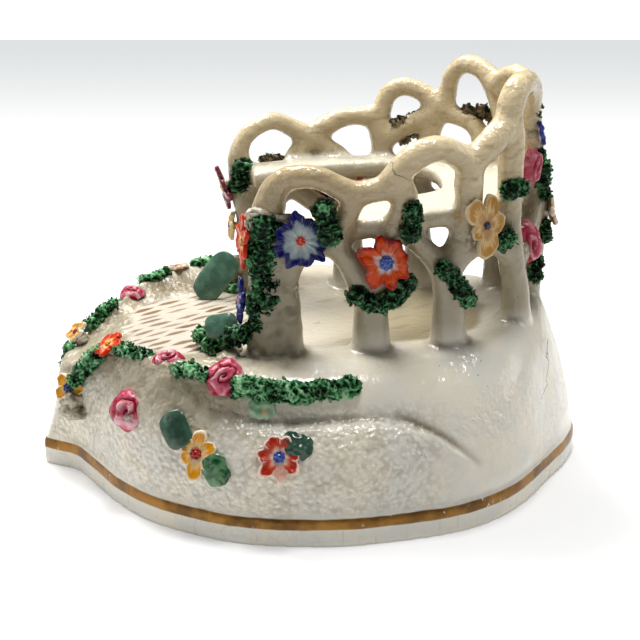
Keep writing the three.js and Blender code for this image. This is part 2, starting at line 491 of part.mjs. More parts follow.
const GARLANDS = [
  // the mound's rim, +X side
  { path: [[9.8, -60.2, 26], [12.3, -57.6, 30.6], [13.6, -54.6, 34.4]] },
  { path: [[17.6, -49.8, 37.8], [24.4, -44.4, 38.5]], half: [2.6, 2.6, 2] },
  { path: [[31.8, -36.2, 38.7], [36, -30.4, 38.2]], half: [2.4, 2.8, 2] },
  {
    path: [[41, -20.6, 35.2], [42.1, -12.6, 34.1], [42.7, -5.6, 33.8], [42.9, 3.4, 34.2]],
    half: [2.4, 3, 2.6],
  },
  // foot and face of the +X post
  { path: [[18, -28, 39.6], [22.4, -24.4, 41], [26.4, -19, 42.4]], half: [3, 3, 2.8] },
  { path: [[27.8, -14.4, 47], [28.3, -13, 56], [28, -13.6, 64], [28.2, -12.8, 72.4]], half: [2.4, 3.9, 3] },
  { path: [[28.8, -9, 50], [29, -8.6, 56]], half: [1.6, 2, 2.4] },
  // lattice, +X side
  { path: [[31.8, 1.6, 70], [32, 0.6, 75.4]], half: [2.4, 3.4, 3] },
  { path: [[30.2, 9, 53.8], [30.4, 13.4, 52], [30.2, 17.4, 54]], half: [2.4, 3, 2.8] },
  { path: [[32.2, 20.8, 70], [32.2, 21, 75.6]], half: [2.2, 2.8, 3] },
  { path: [[29.8, 29.6, 59.8], [28.4, 32.8, 55.6], [27.2, 36.2, 51.4]], half: [2, 2.8, 2.8] },
  { path: [[23, 43.6, 63.4], [22.6, 44.2, 65.8]], half: [2.4, 2.4, 2.2] },
  { path: [[22.2, 47.4, 75], [21.8, 47.6, 78.4]], half: [2.4, 2.8, 2.6] },
  // the back
  { path: [[8, 56.6, 50.6], [8, 56.8, 54]], half: [2.4, 2.2, 2.8] },
  { path: [[2.6, 60, 59], [3, 59.8, 62]], half: [2.4, 2, 2.4] },
  { path: [[3, 59.2, 70.8], [3, 58.6, 75], [2.6, 58, 80]], half: [2.4, 2, 2.6] },
  { path: [[1.6, 56.8, 90.6], [1.2, 56.8, 93]], half: [1.6, 1.6, 1.6] },
  // the mound's rim, -X side
  { path: [[-6.4, -61.4, 28.8], [-13.2, -54.8, 35.8], [-19, -48.6, 38]], half: [2.2, 2.3, 2] },
  { path: [[-28.6, -40.4, 39.6], [-31.6, -36.4, 40.4]], half: [2.2, 2.6, 2] },
  {
    path: [[-36.6, -28, 40.8], [-39.8, -20, 39.8], [-41.4, -10, 38.6], [-41.8, -2, 38.4]],
    half: [2.2, 2.6, 2],
  },
  // -X post and lattice
  { path: [[-25.2, -17, 66.4], [-25, -16.6, 71]], half: [2.8, 3.6, 3] },
  { path: [[-27.8, -12.6, 46], [-27.8, -13, 60]], half: [2.2, 3.6, 3] },
  { path: [[-23.6, -17.4, 38.6], [-23, -18.4, 38.4]], half: [3, 3, 2.4] },
  { path: [[-26.8, -10, 73.4], [-27, -8, 73.4]], half: [2.2, 2.8, 2.4] },
  { path: [[-30.8, 26, 80.8], [-30.6, 29.4, 81.8]], half: [2, 2.6, 2.4] },
  { path: [[-30, 28.4, 76], [-30, 30, 76.6]], half: [2, 2.4, 2.2] },
  { path: [[-21.6, 46.6, 85.2], [-20.4, 48.6, 86.4]], half: [2.6, 2.6, 2.4] },
  { path: [[-29.8, 7.6, 56.4], [-29.8, 15.4, 57.4]], half: [2.2, 3, 2.8] },
  { path: [[-29.2, 27, 59.6], [-28.4, 32.6, 58.6]], half: [2.2, 3, 2.8] },
  { path: [[-8.6, 58, 63.6], [-7, 58.4, 68]], half: [2.6, 2, 2.6] },
];

const FLOWERS = [
  // lattice, +X side
  [31.8, -5.2, 68.4, 1, 0.02, 0.05, 7.2, 9], [32.4, 15, 62.6, 1, 0.02, 0.12, 6.9, 7],
  [28.4, 39.4, 70, 0.8, 0.6, 0.05, 7.2, 5],
  // the posts' front faces
  [24.4, -17.9, 66.3, 0.12, -1, 0.05, 7.4, 6], [24.4, -18.6, 51.4, 0.1, -1, 0.1, 5.2, 6],
  [-24, -20.9, 66.8, 0.15, -0.97, -0.25, 6.2, 6], [-24, -18.9, 56, 0.1, -1, 0, 3.9, 5],
  // the back
  [3, 58.6, 85.6, 0.1, 1, 0.1, 3.2, 5], [2, 61, 65.4, 0.05, 1, 0.1, 3.9, 5],
  // the mound
  [6.8, -63.8, 23.2, 0.5, -0.85, 0.3, 4.2, 5], [14, -52, 37.2, 0.3, -0.5, 0.8, 3.9, 6],
  [44.8, -30.9, 20.8, 0.88, -0.33, 0.35, 5.6, 5], [49, -11.6, 21.2, 0.86, -0.1, 0.5, 5.6, 7],
  [-11, -57.8, 33.6, -0.3, -0.6, 0.7, 3.4, 5], [-34.4, -32.2, 41.2, -0.2, -0.1, 0.95, 3.2, 5],
  [-48.6, -12, 21.2, -0.86, -0.1, 0.5, 5.2, 6],
  // lattice, -X side
  [-31.8, -3.6, 66.6, -1, 0, 0.05, 6.6, 7], [-32.2, 17.6, 64, -1, 0, 0.05, 6.8, 6],
  [-28.2, 35.2, 70.6, -0.86, 0.5, 0, 6.2, 5],
];

const ROSES = [
  [28.8, -38.8, 39.6, 0.3, 0, 0.95, 3.9], [38.4, -24.4, 38, 0.7, -0.2, 0.7, 4.8],
  [28.8, -48.2, 25.6, 0.55, -0.8, 0.25, 4.3], [9.6, 56, 60.5, 0.35, 0.93, 0.1, 5.3],
  [5.6, 57.6, 78.4, 0.2, 0.98, 0, 4.4], [-24, -44.6, 39.4, -0.2, -0.2, 0.95, 3.4],
  [-30.6, 5.6, 62, -1, 0, 0, 4.4], [-19, 51.4, 72, -0.6, 0.8, 0, 4.4],
  [-29.4, -48, 24, -0.55, -0.8, 0.25, 4.2],
];

const LEAVES = [
  [41, -35.4, 25.4, 0.8, -0.46, 0.38, 0.3, 0.5, -0.8, 10.6, 6.4],
  [47.6, -6.6, 24, 0.8, 0, 0.6, 0, 0.6, -0.5, 7, 4.8],
  [46.8, -26.4, 17.6, 0.9, -0.3, 0.3, 0.1, 0.5, -0.8, 7.4, 6],
  [-23.6, -23.4, 42.6, 0.88, -0.35, 0.3, 0, 0.59, 0.81, 17.5, 8.6],
  [23.4, -24.2, 44.6, 0.85, -0.2, 0.5, 0, 1, 0.1, 8.8, 6.6],
];
const CHIPPED_LUMP = [10.6, -61.4, 20.8, 1.8, 3, 2.8]; // what is left of a broken leaf at the front

// Everything is joined into the one body that was fired.
const pieces = [
  mound(),
  seat(),
  ...[...Object.values(NEAR), ...Object.values(FAR)].map(rod),
  ...[CHIPPED_LUMP, ...GARLANDS.flatMap(garland)].map(clump),
  ...FLOWERS.map(flower),
  ...ROSES.map(rose),
  ...LEAVES.map(leaf),
];
const joined = wasm.Manifold.union(pieces).decompose().sort((a, b) => b.volume() - a.volume());
if (joined.length > 1) {
  const where = joined.slice(1).map((b) => JSON.stringify(b.boundingBox()));
  throw new Error("loose pieces at " + where.join(" "));
}

function mesh(name, body) {
  const { vertProperties, triVerts } = body.getMesh();
  const geometry = new THREE.BufferGeometry()
    .setAttribute("position", new THREE.BufferAttribute(Float32Array.from(vertProperties), 3))
    .setIndex(new THREE.BufferAttribute(Uint32Array.from(triVerts), 1));
  geometry.computeVertexNormals();
  const glaze = new THREE.MeshStandardMaterial({ color: 0xf2efe8, roughness: 0.2, metalness: 0 });
  const made = new THREE.Mesh(geometry, glaze);
  made.name = name;
  return made;
}

const bower = new THREE.Group();
bower.name = "porcelain_garden_bower";
bower.add(mesh("bower", thin(joined[0], FACETS)));
export default bower;
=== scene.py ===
"""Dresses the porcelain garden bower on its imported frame: one fired body of mound, seat and lattice, and on
it shredded leaf, flowers, roses, smooth leaves and lumps of slip. The tables are in millimetres, in the
frame's axes: +Z up, the open front at -Y, and the side with the large flowers at +X."""

import bisect
import math
import random

import bpy
import numpy as np
from bpy.props import FloatProperty, FloatVectorProperty, IntProperty, PointerProperty
from mathutils import Matrix, Vector, noise


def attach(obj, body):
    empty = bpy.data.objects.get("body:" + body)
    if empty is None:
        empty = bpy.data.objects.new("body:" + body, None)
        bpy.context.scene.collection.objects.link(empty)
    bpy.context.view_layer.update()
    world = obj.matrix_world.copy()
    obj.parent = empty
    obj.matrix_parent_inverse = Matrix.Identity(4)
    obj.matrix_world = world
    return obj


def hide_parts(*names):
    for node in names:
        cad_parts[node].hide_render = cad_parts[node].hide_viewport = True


bl_info = {
    "name": "Porcelain Garden Bower",
    "version": (1, 0, 0),
    "blender": (4, 5, 0),
    "location": "View3D > Sidebar > Bower",
    "description": "Models, encrusts and glazes a porcelain garden bower",
    "category": "Add Mesh",
}

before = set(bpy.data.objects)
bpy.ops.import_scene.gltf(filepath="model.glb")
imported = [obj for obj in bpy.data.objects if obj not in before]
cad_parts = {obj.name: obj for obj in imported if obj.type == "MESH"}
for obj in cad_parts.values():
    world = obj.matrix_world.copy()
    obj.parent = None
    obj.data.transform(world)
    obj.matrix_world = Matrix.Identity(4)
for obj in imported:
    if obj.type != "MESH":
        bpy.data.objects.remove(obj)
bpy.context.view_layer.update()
MM = 0.001
UP = Vector((0, 0, 1))


def srgb(red, green, blue):
    """A colour given as 0 to 255, as the linear values that a shader takes."""
    return tuple(((c / 255 + 0.055) / 1.055) ** 2.4 for c in (red, green, blue))


def colour(name, description, *value):
    return FloatVectorProperty(
        name=name, description=description, default=srgb(*value), subtype="COLOR", min=0, max=1
    )


def length(name, description, value):
    return FloatProperty(name=name, description=description, default=value, unit="LENGTH", min=0)


class BowerSizes(bpy.types.PropertyGroup):
    """Sizes that a maker would change."""

    foot_edge: length("Foot edge", "Height of the upright edge round the foot", 0.0073)
    seat_top: length("Seat height", "Height of the seat's top", 0.0737)
    seat_thickness: length("Seat thickness", "Thickness of the seat slab", 0.0048)
    seat_sag: length("Seat sag", "How far the seat's +X arm drops towards the front", 0.0023)
    skin: length("Skin", "Fineness of the fired body's surface", 0.00084)
    curl_radius: length("Curl radius", "Radius of a curl of shredded leaf", 0.0011)
    curl_thickness: length("Curl thickness", "Half thickness of a curl of shredded leaf", 0.00048)
    petal_thickness: length("Petal thickness", "Thickness of a flower's petals", 0.0011)
    curl_spacing: FloatProperty(
        name="Curls", description="Curls of leaf on each square millimetre of a clump", default=0.46
    )
    seed: IntProperty(name="Seed", description="Start of the hand's chances", default=7)


class BowerColours(bpy.types.PropertyGroup):
    """Colours of the glaze, the enamels and the gilding."""

    glaze: colour("Glaze", "Cool white of the mound", 224, 221, 211)
    warm_glaze: colour("Warm glaze", "Cream where the glaze lies thick", 233, 226, 208)
    aged_glaze: colour("Aged glaze", "Tan of the upper lattice", 226, 208, 170)
    # Worn, greyer glaze, which also stands for painted shade low on the lattice and on the banks
    worn_and_shaded_glaze: colour("Worn glaze", "Greyer glaze low on the lattice and on the banks", 160, 150, 126)
    # Dark brown: grime in the crazing and pits and darkening in the body's hollows, and painted shade in the
    # hollows of bare shredded leaf
    grime_and_leaf_shade: colour("Grime", "Dirt in the hollows and the crazing", 92, 74, 50)
    gilt: colour("Gilt", "The gilt line round the foot", 156, 110, 38)
    brushed_brown: colour("Brushed brown", "Strokes on the floor", 128, 96, 70)
    # Painted highlight: pale green on the shredded leaf's raised edges
    leaf_highlight: colour("Leaf edges", "Shredded leaf on its raised edges", 180, 222, 180)
    leaf: colour("Leaf", "Shredded leaf", 60, 140, 80)
    # Painted shade: near-black green in the shredded leaf's hollows
    leaf_shade: colour("Leaf hollows", "Shredded leaf in its hollows", 0, 22, 2)
    smooth_leaf: colour("Smooth leaf", "The larger, smooth leaves", 40, 64, 52)
    biscuit: colour("Bare leaf", "Shredded leaf that the enamel missed", 150, 136, 108)


# The fired body

# The mound's plan, right half, from the tip at the front to the middle of the back
OUTLINE = [
    (0, -70.5), (2.9, -67.3), (6.5, -61.7), (13, -58), (20.5, -54.2), (26.5, -51), (32, -47.4), (37, -43.2),
    (41.8, -37.8), (46.4, -31), (50.2, -24), (52.8, -16), (54.4, -6), (55, 3), (54, 13), (52.2, 23),
    (49.3, 33), (43.5, 42.5), (34.5, 51.2), (24.5, 58.2), (12.5, 66.3), (0, 70.5),
]
# At some of those points: where the floor's middle line stands for it, as y and z, and then the levels of its
# profile, as inset from the outline towards the middle and height: skirt, shelf, fold, wall, rim, bank, floor
PROFILES = {
    0: (-44, 36.9, 2.3, 11, 3.9, 17, 5.1, 23, 5.9, 26.4, 7.5, 28.4, 10.5, 29.8, 23.5, 36.6),
    2: (-43, 36.9, -0.5, 11, -0.8, 17, -0.5, 23.5, -0.1, 27.5, 0.8, 30, 3.8, 30.6, 15.8, 36.6),
    4: (-40.5, 37, 0.1, 14, 1.1, 22, 2.9, 30, 4.8, 34.8, 6.2, 36.7, 8.4, 36, 13, 36.8),
    7: (-33, 37.3, 0.4, 15.5, 1.8, 24, 4.5, 32.4, 7.2, 36.8, 9.3, 38.7, 12.5, 38.4, 17.7, 37.1),
    9: (-24.5, 37.6, 1.1, 15.5, 3.8, 25, 7.4, 31, 9.4, 35.8, 11.2, 38.6, 15, 38.8, 23.7, 37.4),
    11: (-13, 38, 1.7, 18.6, 6.4, 26.3, 9.3, 27.5, 10.4, 31.8, 12.9, 36.6, 18.8, 38.5, 29.5, 38.1),
    14: (12, 38.2, 1.7, 18.8, 6.4, 26.6, 9.4, 27.8, 10.5, 31.6, 13.8, 35.8, 21, 38.4, 32.2, 38.3),
    16: (26.5, 38.3, 0.3, 13, 1.2, 19.4, 2.8, 22, 8.4, 32, 15.6, 37, 19.9, 38.8, 29.9, 38.4),
    18: (35, 38.6, -0.4, 13, -0.1, 20, 0.9, 24.5, 3.9, 33, 9.5, 39.2, 13.7, 40.5, 23.6, 39),
    21: (41, 39.2, 1.7, 14, 3.3, 20.5, 4.7, 25.5, 7.6, 34.5, 12.2, 44.6, 16.9, 43.8, 24.5, 39.7),
}
EDGE_ROUND = 0.8  # how far the foot's edge is eased
FRONT_SPREAD = 0.8  # how far the front columns aim beside the middle, so that the floor's end is broad
FAR_RIM_LIFT = 3  # the rim stands this much higher along the -X side
LIFTS = (0, 0, 0, 0.8, 1, 0.45, 0)  # share of that lift that each level takes

# Ribs of the seat, from the +X arm's end round the back to the -X arm's end: x and y inside, x and y outside
SEAT_RIBS = [
    (21.2, -13.4, 24.8, -13.6), (21.6, -8, 26.4, -8), (21, -1, 28.1, -0.5), (18.4, 6, 29.1, 7),
    (14.4, 13, 29.3, 15), (12.4, 20, 28.9, 23), (9.8, 27, 26.8, 32.5), (5.6, 31.2, 21.5, 43),
    (1.8, 32.8, 12, 51.6), (-2.4, 33.2, 0, 54.6), (-7.5, 33.3, -11, 52.3), (-12.6, 32.6, -18.5, 46),
    (-18.6, 29.4, -25.2, 36.5), (-21, 24, -28.6, 26.5), (-21, 15, -29.3, 16), (-19.8, 6, -28.8, 7),
    (-15.6, -4.4, -26.8, -4), (-11.2, -13.8, -24.2, -14.4),
]

# Rolled rods of the +X side, as x, y, z and radius: the post, the rail's arches, their stems and feet
NEAR_RODS = [
    [(25.2, -12.6, 35, 5.4), (25.2, -12.8, 46, 4.8), (25.1, -13, 58, 4.4), (25.1, -12.9, 68, 4),
     (25.4, -12.2, 76, 3.7)],
    [(25.2, -8.6, 35, 5.2), (25.3, -8.8, 46, 4.4), (25.4, -9.2, 56, 3.7), (25.4, -10.6, 65, 3.1),
     (25.4, -11.8, 73, 2.8)],
    [(25.4, -12, 75, 3.8), (25.9, -11, 78.9, 3.3), (26.9, -8.8, 81.5, 2.9), (28.6, -4.4, 83, 2.7),
     (29.7, -0.4, 82.7, 2.7), (30.2, 3, 81.1, 2.6), (30.3, 7.6, 78.7, 3)],
    [(30.3, 6, 78.8, 2.6), (30.3, 12, 79.6, 3), (30.2, 18, 80.8, 3.1)],
    [(30.4, 15.6, 81.3, 3.2), (30.7, 20.2, 86.3, 3.4), (30.3, 23.8, 88.5, 3.4), (29.6, 27.4, 89.1, 3.2),
     (28.5, 30.8, 87.9, 3.2), (26.3, 35.6, 84.1, 3.5)],
    [(26.4, 35.2, 84.2, 3.2), (25.6, 37.8, 86.6, 3.4), (24, 41, 89.2, 3.5), (20.8, 45.2, 92.8, 3.4)],
    [(20.6, 45.2, 92.3, 2.8), (20.2, 45.8, 96.7, 3.4), (18.4, 47.4, 100.1, 3.3), (14, 50.4, 101.2, 2.9),
     (8, 53, 99.5, 2.7), (3.4, 54.6, 95.7, 2.7), (0, 55, 90.7, 2.8)],
    [(30.3, 7.4, 79.6, 2.9), (29.8, 7, 76, 2.7), (29.2, 5.4, 72.4, 2.7), (28.5, 3.8, 68.4, 2.7),
     (28.1, 4.6, 64.7, 2.9), (27.4, 7.4, 60, 3.1), (26.4, 11.6, 52, 3.8)],
    [(26.8, 12.2, 57, 3.2), (25.8, 12.4, 48, 4.1), (24.6, 12.6, 35, 5)],
    [(26.2, 12.4, 51, 3.3), (27.2, 14.6, 58, 2.9), (28, 15.8, 63, 2.5), (28.8, 17, 70.5, 2.4)],
    [(30.3, 17.4, 82, 3.2), (29.6, 19.4, 78, 3.4), (29.1, 18.8, 74, 2.9), (28.6, 16.8, 70, 2.7),
     (28.2, 15.9, 66, 2.6)],
    [(29.2, 18.9, 74.5, 2.7), (28.5, 20.2, 69.8, 2.6), (27.7, 22.7, 66.4, 2.6), (27, 25.8, 63.2, 2.7),
     (26, 29, 58.6, 2.9), (25.2, 30.8, 53, 3.4)],
    [(25.4, 31.1, 56, 3.4), (24.3, 31.6, 46.5, 4.1), (23.2, 32, 34.5, 5.1)],
    [(26.3, 35.6, 85, 3.2), (26.1, 35.4, 80, 3.5), (25.8, 35.4, 75, 3.3), (25.7, 34.8, 71, 3.1),
     (25.6, 33.6, 66.5, 2.9), (25.6, 31.8, 60, 3.1), (25.3, 31, 53.5, 3.2)],
    [(20.4, 45.6, 93.4, 3.3), (19.6, 46.6, 89, 3.2), (19.3, 46.8, 82, 3.1), (19, 46.8, 75, 3),
     (18.4, 47.1, 67, 3), (17.4, 48, 60, 3.1), (16.2, 49, 54, 3.3)],
    [(16.8, 48.6, 57.5, 3), (14.6, 50.2, 49, 3.5), (12.8, 51, 37, 4.4)],
    [(25.6, -8, 57.5, 3), (26.3, -5.6, 62.2, 2.6), (27.3, -1.2, 65.4, 2.5), (28.2, 4, 65.4, 2.6)],
    [(25.3, 32.4, 58.5, 2.6), (24.5, 36.4, 62.4, 2.4), (22.9, 40.2, 63.2, 2.4), (20.3, 44.6, 62, 2.5),
     (17.4, 48, 58.5, 2.8)],
    [(16, 49.2, 55.5, 2.7), (9.6, 53.4, 60.5, 2.5), (3, 56.6, 66.5, 2.6), (0, 57.6, 70, 2.6)],
]
# Rolled rods of the -X side and the back
FAR_RODS = [
    [(-24.6, -12.4, 35, 5.2), (-24.6, -12.8, 46, 4.4), (-24.5, -14.2, 58, 4), (-24.4, -16.4, 68, 3.5),
     (-24.4, -17.2, 75, 2.9)],
    [(-24.6, -8.4, 35, 4.9), (-24.6, -8.8, 46, 4.1), (-24.6, -10.6, 58, 3.5), (-24.5, -14, 70, 2.8)],
    [(-24.4, -17.6, 72.4, 3.1), (-24.5, -16.8, 77.2, 2.6), (-25, -14.6, 80.8, 2.5), (-26.4, -11.2, 82.8, 2.4),
     (-27.8, -7.5, 83.5, 2.4), (-28.9, -3.4, 81.7, 2.5), (-29.7, 2.2, 78.4, 2.9)],
    [(-29.8, 1.8, 78.6, 2.8), (-30.5, 6.3, 81.2, 3), (-30.8, 10, 83.1, 2.8), (-30.8, 14, 83.8, 2.4),
     (-30.3, 19.6, 83.8, 2.8)],
    [(-30.1, 20, 82.1, 2.8), (-30.3, 21.7, 85.7, 2.5), (-30.6, 22.6, 88.7, 2.4), (-30.5, 24.7, 90.8, 2.4),
     (-29.8, 27.8, 91.7, 2.4), (-28.8, 31, 90.9, 2.4), (-27.4, 34.2, 89.1, 2.5), (-25.9, 37, 87.1, 3.1)],
    [(-25.7, 37.6, 86.1, 3), (-25.5, 38.6, 89.9, 2.5), (-25.4, 39, 93.5, 2.5), (-24.8, 40, 96.5, 2.5),
     (-23.1, 42.5, 98.7, 2.6), (-20.6, 45.4, 98.5, 2.8), (-18.1, 47.7, 96.9, 2.8), (-15.2, 49.8, 94.3, 2.9)],
    [(-18.8, 47, 97.2, 2.5), (-16.4, 49.2, 92.7, 2.5), (-14.2, 50.6, 87.5, 2.5), (-12.8, 51.4, 80, 2.5),
     (-12.4, 51.6, 70, 2.7), (-12.6, 51.2, 57, 3.1)],
    [(-15.8, 49.4, 94, 2.6), (-13.8, 50.6, 96.4, 2.5), (-10.8, 52, 98.3, 2.5), (-6.4, 53.6, 99, 2.5),
     (-2.4, 54.8, 97, 2.5), (0, 55, 91.4, 2.6)],
    [(-29.8, 2.4, 78.7, 2.8), (-29, 0, 76, 2.6), (-28, -2.7, 72.3, 2.6), (-27.2, -3.4, 67.2, 2.6),
     (-27.3, 1, 62.7, 2.9), (-27.2, 7.2, 58.2, 3.1), (-26.4, 11.6, 51.7, 3.7)],
    [(-29.7, 2.6, 78.7, 2.8), (-29.7, 6.6, 75.7, 2.5), (-29.3, 10.6, 72.9, 2.5), (-28.2, 12.4, 65.7, 2.6),
     (-26.8, 12.6, 55.7, 3.2)],
    [(-26.6, 12.4, 58, 3), (-25.8, 12.4, 48, 4), (-24.6, 12.6, 35, 4.9)],
    [(-30.2, 20, 84.1, 2.8), (-29.8, 20.9, 80.2, 2.8), (-29.2, 21.6, 75.7, 2.7), (-28.4, 21.2, 69.7, 2.6),
     (-27.4, 17.6, 62.7, 2.6), (-26.4, 13.4, 54.7, 2.9)],
    [(-29.9, 20.9, 81.1, 2.3), (-29.4, 24, 80.4, 2.2), (-28.6, 27.6, 81, 2.2)],
    [(-26, 36.9, 87.4, 3), (-26.9, 34, 84.4, 2.8), (-28, 30.1, 82.4, 2.6), (-28.8, 25.6, 80, 2.5),
     (-28.9, 22.2, 77.2, 2.6)],
    [(-26, 36.9, 87.8, 3), (-26.4, 35.2, 82, 2.6), (-26.7, 33.6, 76.5, 2.6), (-26.4, 32.6, 69, 2.6),
     (-25.8, 31.4, 60, 3), (-25.3, 31, 53, 3.4)],
    [(-28.6, 21.6, 72.5, 2.3), (-27.9, 22.7, 67, 2.3), (-27, 26, 63, 2.4), (-25.6, 30.2, 55, 2.8)],
    [(-25.4, 31.1, 57, 3.2), (-24.3, 31.6, 46.5, 4), (-23.2, 32, 34.5, 5)],
    [(-26, 37.2, 87.3, 2.9), (-24.4, 39.6, 85.3, 2.5), (-22, 43, 84.3, 2.5), (-19.6, 45.6, 82.3, 2.5),
     (-18.2, 47, 76.7, 2.5), (-17.2, 48, 65.7, 2.6), (-15, 49.8, 55.7, 3.1)],
    [(-14.2, 50.2, 58.5, 3), (-13.4, 50.8, 49, 3.5), (-12.4, 51, 37, 4.4)],
    [(-25, -9.6, 57, 2.5), (-26, -6.2, 62.6, 2.2), (-27.2, -3, 66, 2.2)],
    [(-25.3, 32.4, 58.5, 2.3), (-24.3, 37, 62.6, 2.1), (-22, 41.6, 63.2, 2.1), (-18.6, 46.2, 60.5, 2.3),
     (-14.6, 50, 55, 2.5)],
    [(-13.4, 51, 55.5, 2.7), (-8, 54, 61, 2.5), (-2.6, 56.8, 66.5, 2.6), (0, 57.6, 70, 2.6)],
    [(0, 55, 92.5, 2.8), (0, 55.4, 86, 3.2), (0, 56.6, 76, 3.2), (0, 57.8, 66, 3.2), (0, 57, 55, 3.4),
     (0, 55.2, 40, 4.4)],
]
ROD_SHRINK = 0.16  # what smoothing takes off a rod's radius


class Path:
    """A smooth path through rows of numbers, such as points, at rising knots."""

    def __init__(self, rows, knots=None, closed=False):
        self.rows = [np.array(row, float) for row in rows]
        self.knots = list(knots or range(len(rows)))
        self.closed = closed

    def stop(self, i):
        """The knot and the row of number i: counted on round a closed path, held at an open one's ends."""
        last = len(self.rows) - 1
        if self.closed:
            return i, self.rows[i % (last + 1)]
        i = min(max(i, 0), last)
        return self.knots[i], self.rows[i]

    def at(self, t):
        if self.closed:
            i = math.floor(t)
        else:
            i = min(max(bisect.bisect_right(self.knots, t) - 1, 0), len(self.rows) - 2)
        (k0, r0), (k1, r1), (k2, r2), (k3, r3) = (self.stop(i + step) for step in (-1, 0, 1, 2))
        span = k2 - k1
        s = (t - k1) / span
        leave = (r2 - r0) / (k2 - k0) * span
        reach = (r3 - r1) / (k3 - k1) * span
        return (
            (2 * s**3 - 3 * s**2 + 1) * r1 + (s**3 - 2 * s**2 + s) * leave
            + (3 * s**2 - 2 * s**3) * r2 + (s**3 - s**2) * reach
        )


def even(points):
    """A path through points, whose knots rise by the square roots of the distances between them."""
    knots = [0.0]
    for a, b in zip(points, points[1:]):
        knots.append(knots[-1] + max(math.dist(a, b), 1e-3) ** 0.5)
    return Path(points, knots)


def smoothstep(low, high, value):
    """0 at low and before it, 1 at high and past it, and smooth between them."""
    t = np.clip((value - low) / (high - low), 0, 1)
    return t * t * (3 - 2 * t)


def band(value, low, full, ebb, end):
    """Rises from 0 at low to 1 at full, and falls from 1 at ebb to 0 at end."""
    return smoothstep(low, full, value) * smoothstep(end, ebb, value)


# Blender's own tools, by hand


def pick(*pieces):
    """Leaves only these pieces selected, the first of them active."""
    if bpy.context.mode != "OBJECT":
        bpy.ops.object.mode_set(mode="OBJECT")
    bpy.ops.object.select_all(action="DESELECT")
    for piece in pieces:
        piece.select_set(True)
    bpy.context.view_layer.objects.active = pieces[0]


def modify(piece, kind, **settings):
    """Adds a modifier with these settings and applies it."""
    pick(piece)
    made = piece.modifiers.new(kind, kind)
    for name, value in settings.items():
        setattr(made, name, value)
    bpy.ops.object.modifier_apply(modifier=made.name)


def in_edit(piece, *steps):
    """Runs steps on the whole of a piece in edit mode."""
    pick(piece)
    bpy.ops.object.mode_set(mode="EDIT")
    bpy.ops.mesh.select_all(action="SELECT")
    for step in steps:
        step()
    bpy.ops.object.mode_set(mode="OBJECT")


def merge_doubles():
    bpy.ops.mesh.remove_doubles(threshold=0.001 * MM)


def face_outwards():
    bpy.ops.mesh.normals_make_consistent(inside=False)


def cap_ends():
    """Closes the open ends of a tube."""
    bpy.ops.mesh.select_all(action="DESELECT")
    bpy.ops.mesh.select_mode(type="EDGE")
    bpy.ops.mesh.select_non_manifold()
    bpy.ops.mesh.edge_face_add()
    bpy.ops.mesh.select_mode(type="VERT")
    bpy.ops.mesh.select_all(action="SELECT")


def shaped_grid(name, across, along, place):
    """A grid whose points are moved to place(u, v), with u and v from 0 to 1."""
    bpy.ops.object.select_all(action="DESELECT")
    bpy.ops.mesh.primitive_grid_add(x_subdivisions=across, y_subdivisions=along, size=1)
    piece = bpy.context.active_object
    piece.name = piece.data.name = name
    for vertex in piece.data.vertices:
        vertex.co = place(vertex.co.x + 0.5, vertex.co.y + 0.5)
    return piece


def joined(name, pieces):
    """The pieces as one, under this name."""
    pick(*pieces)
    if len(pieces) > 1:
        bpy.ops.object.join()
    piece = bpy.context.active_object
    piece.name = piece.data.name = name
    return piece


def store(piece, name, values):
    """Keeps one number for each point of a piece, for its material to read."""
    attribute = piece.data.attributes.new(name, "FLOAT", "POINT")
    attribute.data.foreach_set("value", np.asarray(values, np.float32))


def points_of(piece, what="co"):
    """The places of a piece's points, or their normals, as rows."""
    flat = np.empty(len(piece.data.vertices) * 3)
    piece.data.vertices.foreach_get(what, flat)
    return flat.reshape(-1, 3)


def finish(piece, slot, *materials):
    """Gives a finished piece its materials and its body, and hides the frame's bower part; the slot is not
    used.
    """
    pick(piece)
    bpy.ops.object.transform_apply(location=True, rotation=True, scale=True)
    bpy.ops.object.shade_smooth()
    if materials:
        piece.data.materials.clear()
    for material in materials:
        piece.data.materials.append(material)
    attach(piece, "root")
    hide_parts("bower")


# Shader maths


def sums(operation, turned=False):
    """A method that adds one Math node, with its sides turned round where it is a reflected one."""

    def method(self, *others):
        sides = (*others, self) if turned else (self, *others)
        return self.paint.node("ShaderNodeMath", {"operation": operation}, *sides)

    return method


class Value:
    """A socket of a shader tree, with which sums can be written."""

    def __init__(self, paint, socket):
        self.paint = paint
        self.socket = socket

    __add__ = __radd__ = sums("ADD")
    __sub__ = sums("SUBTRACT")
    __rsub__ = sums("SUBTRACT", turned=True)
    __mul__ = __rmul__ = sums("MULTIPLY")
    __truediv__ = sums("DIVIDE")
    __lt__ = sums("LESS_THAN")
    __gt__ = sums("GREATER_THAN")
    floor = sums("FLOOR")
    away = sums("ABSOLUTE")
    power = sums("POWER")
    least = sums("MINIMUM")
    most = sums("MAXIMUM")

    def step(self, low, high):
        """0 below low, 1 above high, smooth between them; the other way round where low is above high."""
        smooth = {"interpolation_type": "SMOOTHSTEP"}
        rise = self.paint.node("ShaderNodeMapRange", smooth, self, min(low, high), max(low, high))
        return 1 - rise if low > high else rise

    def band(self, low, full, ebb, end):
        """Rises from 0 at low to 1 at full, and falls from 1 at ebb to 0 at end."""
        return self.step(low, full) * self.step(end, ebb)


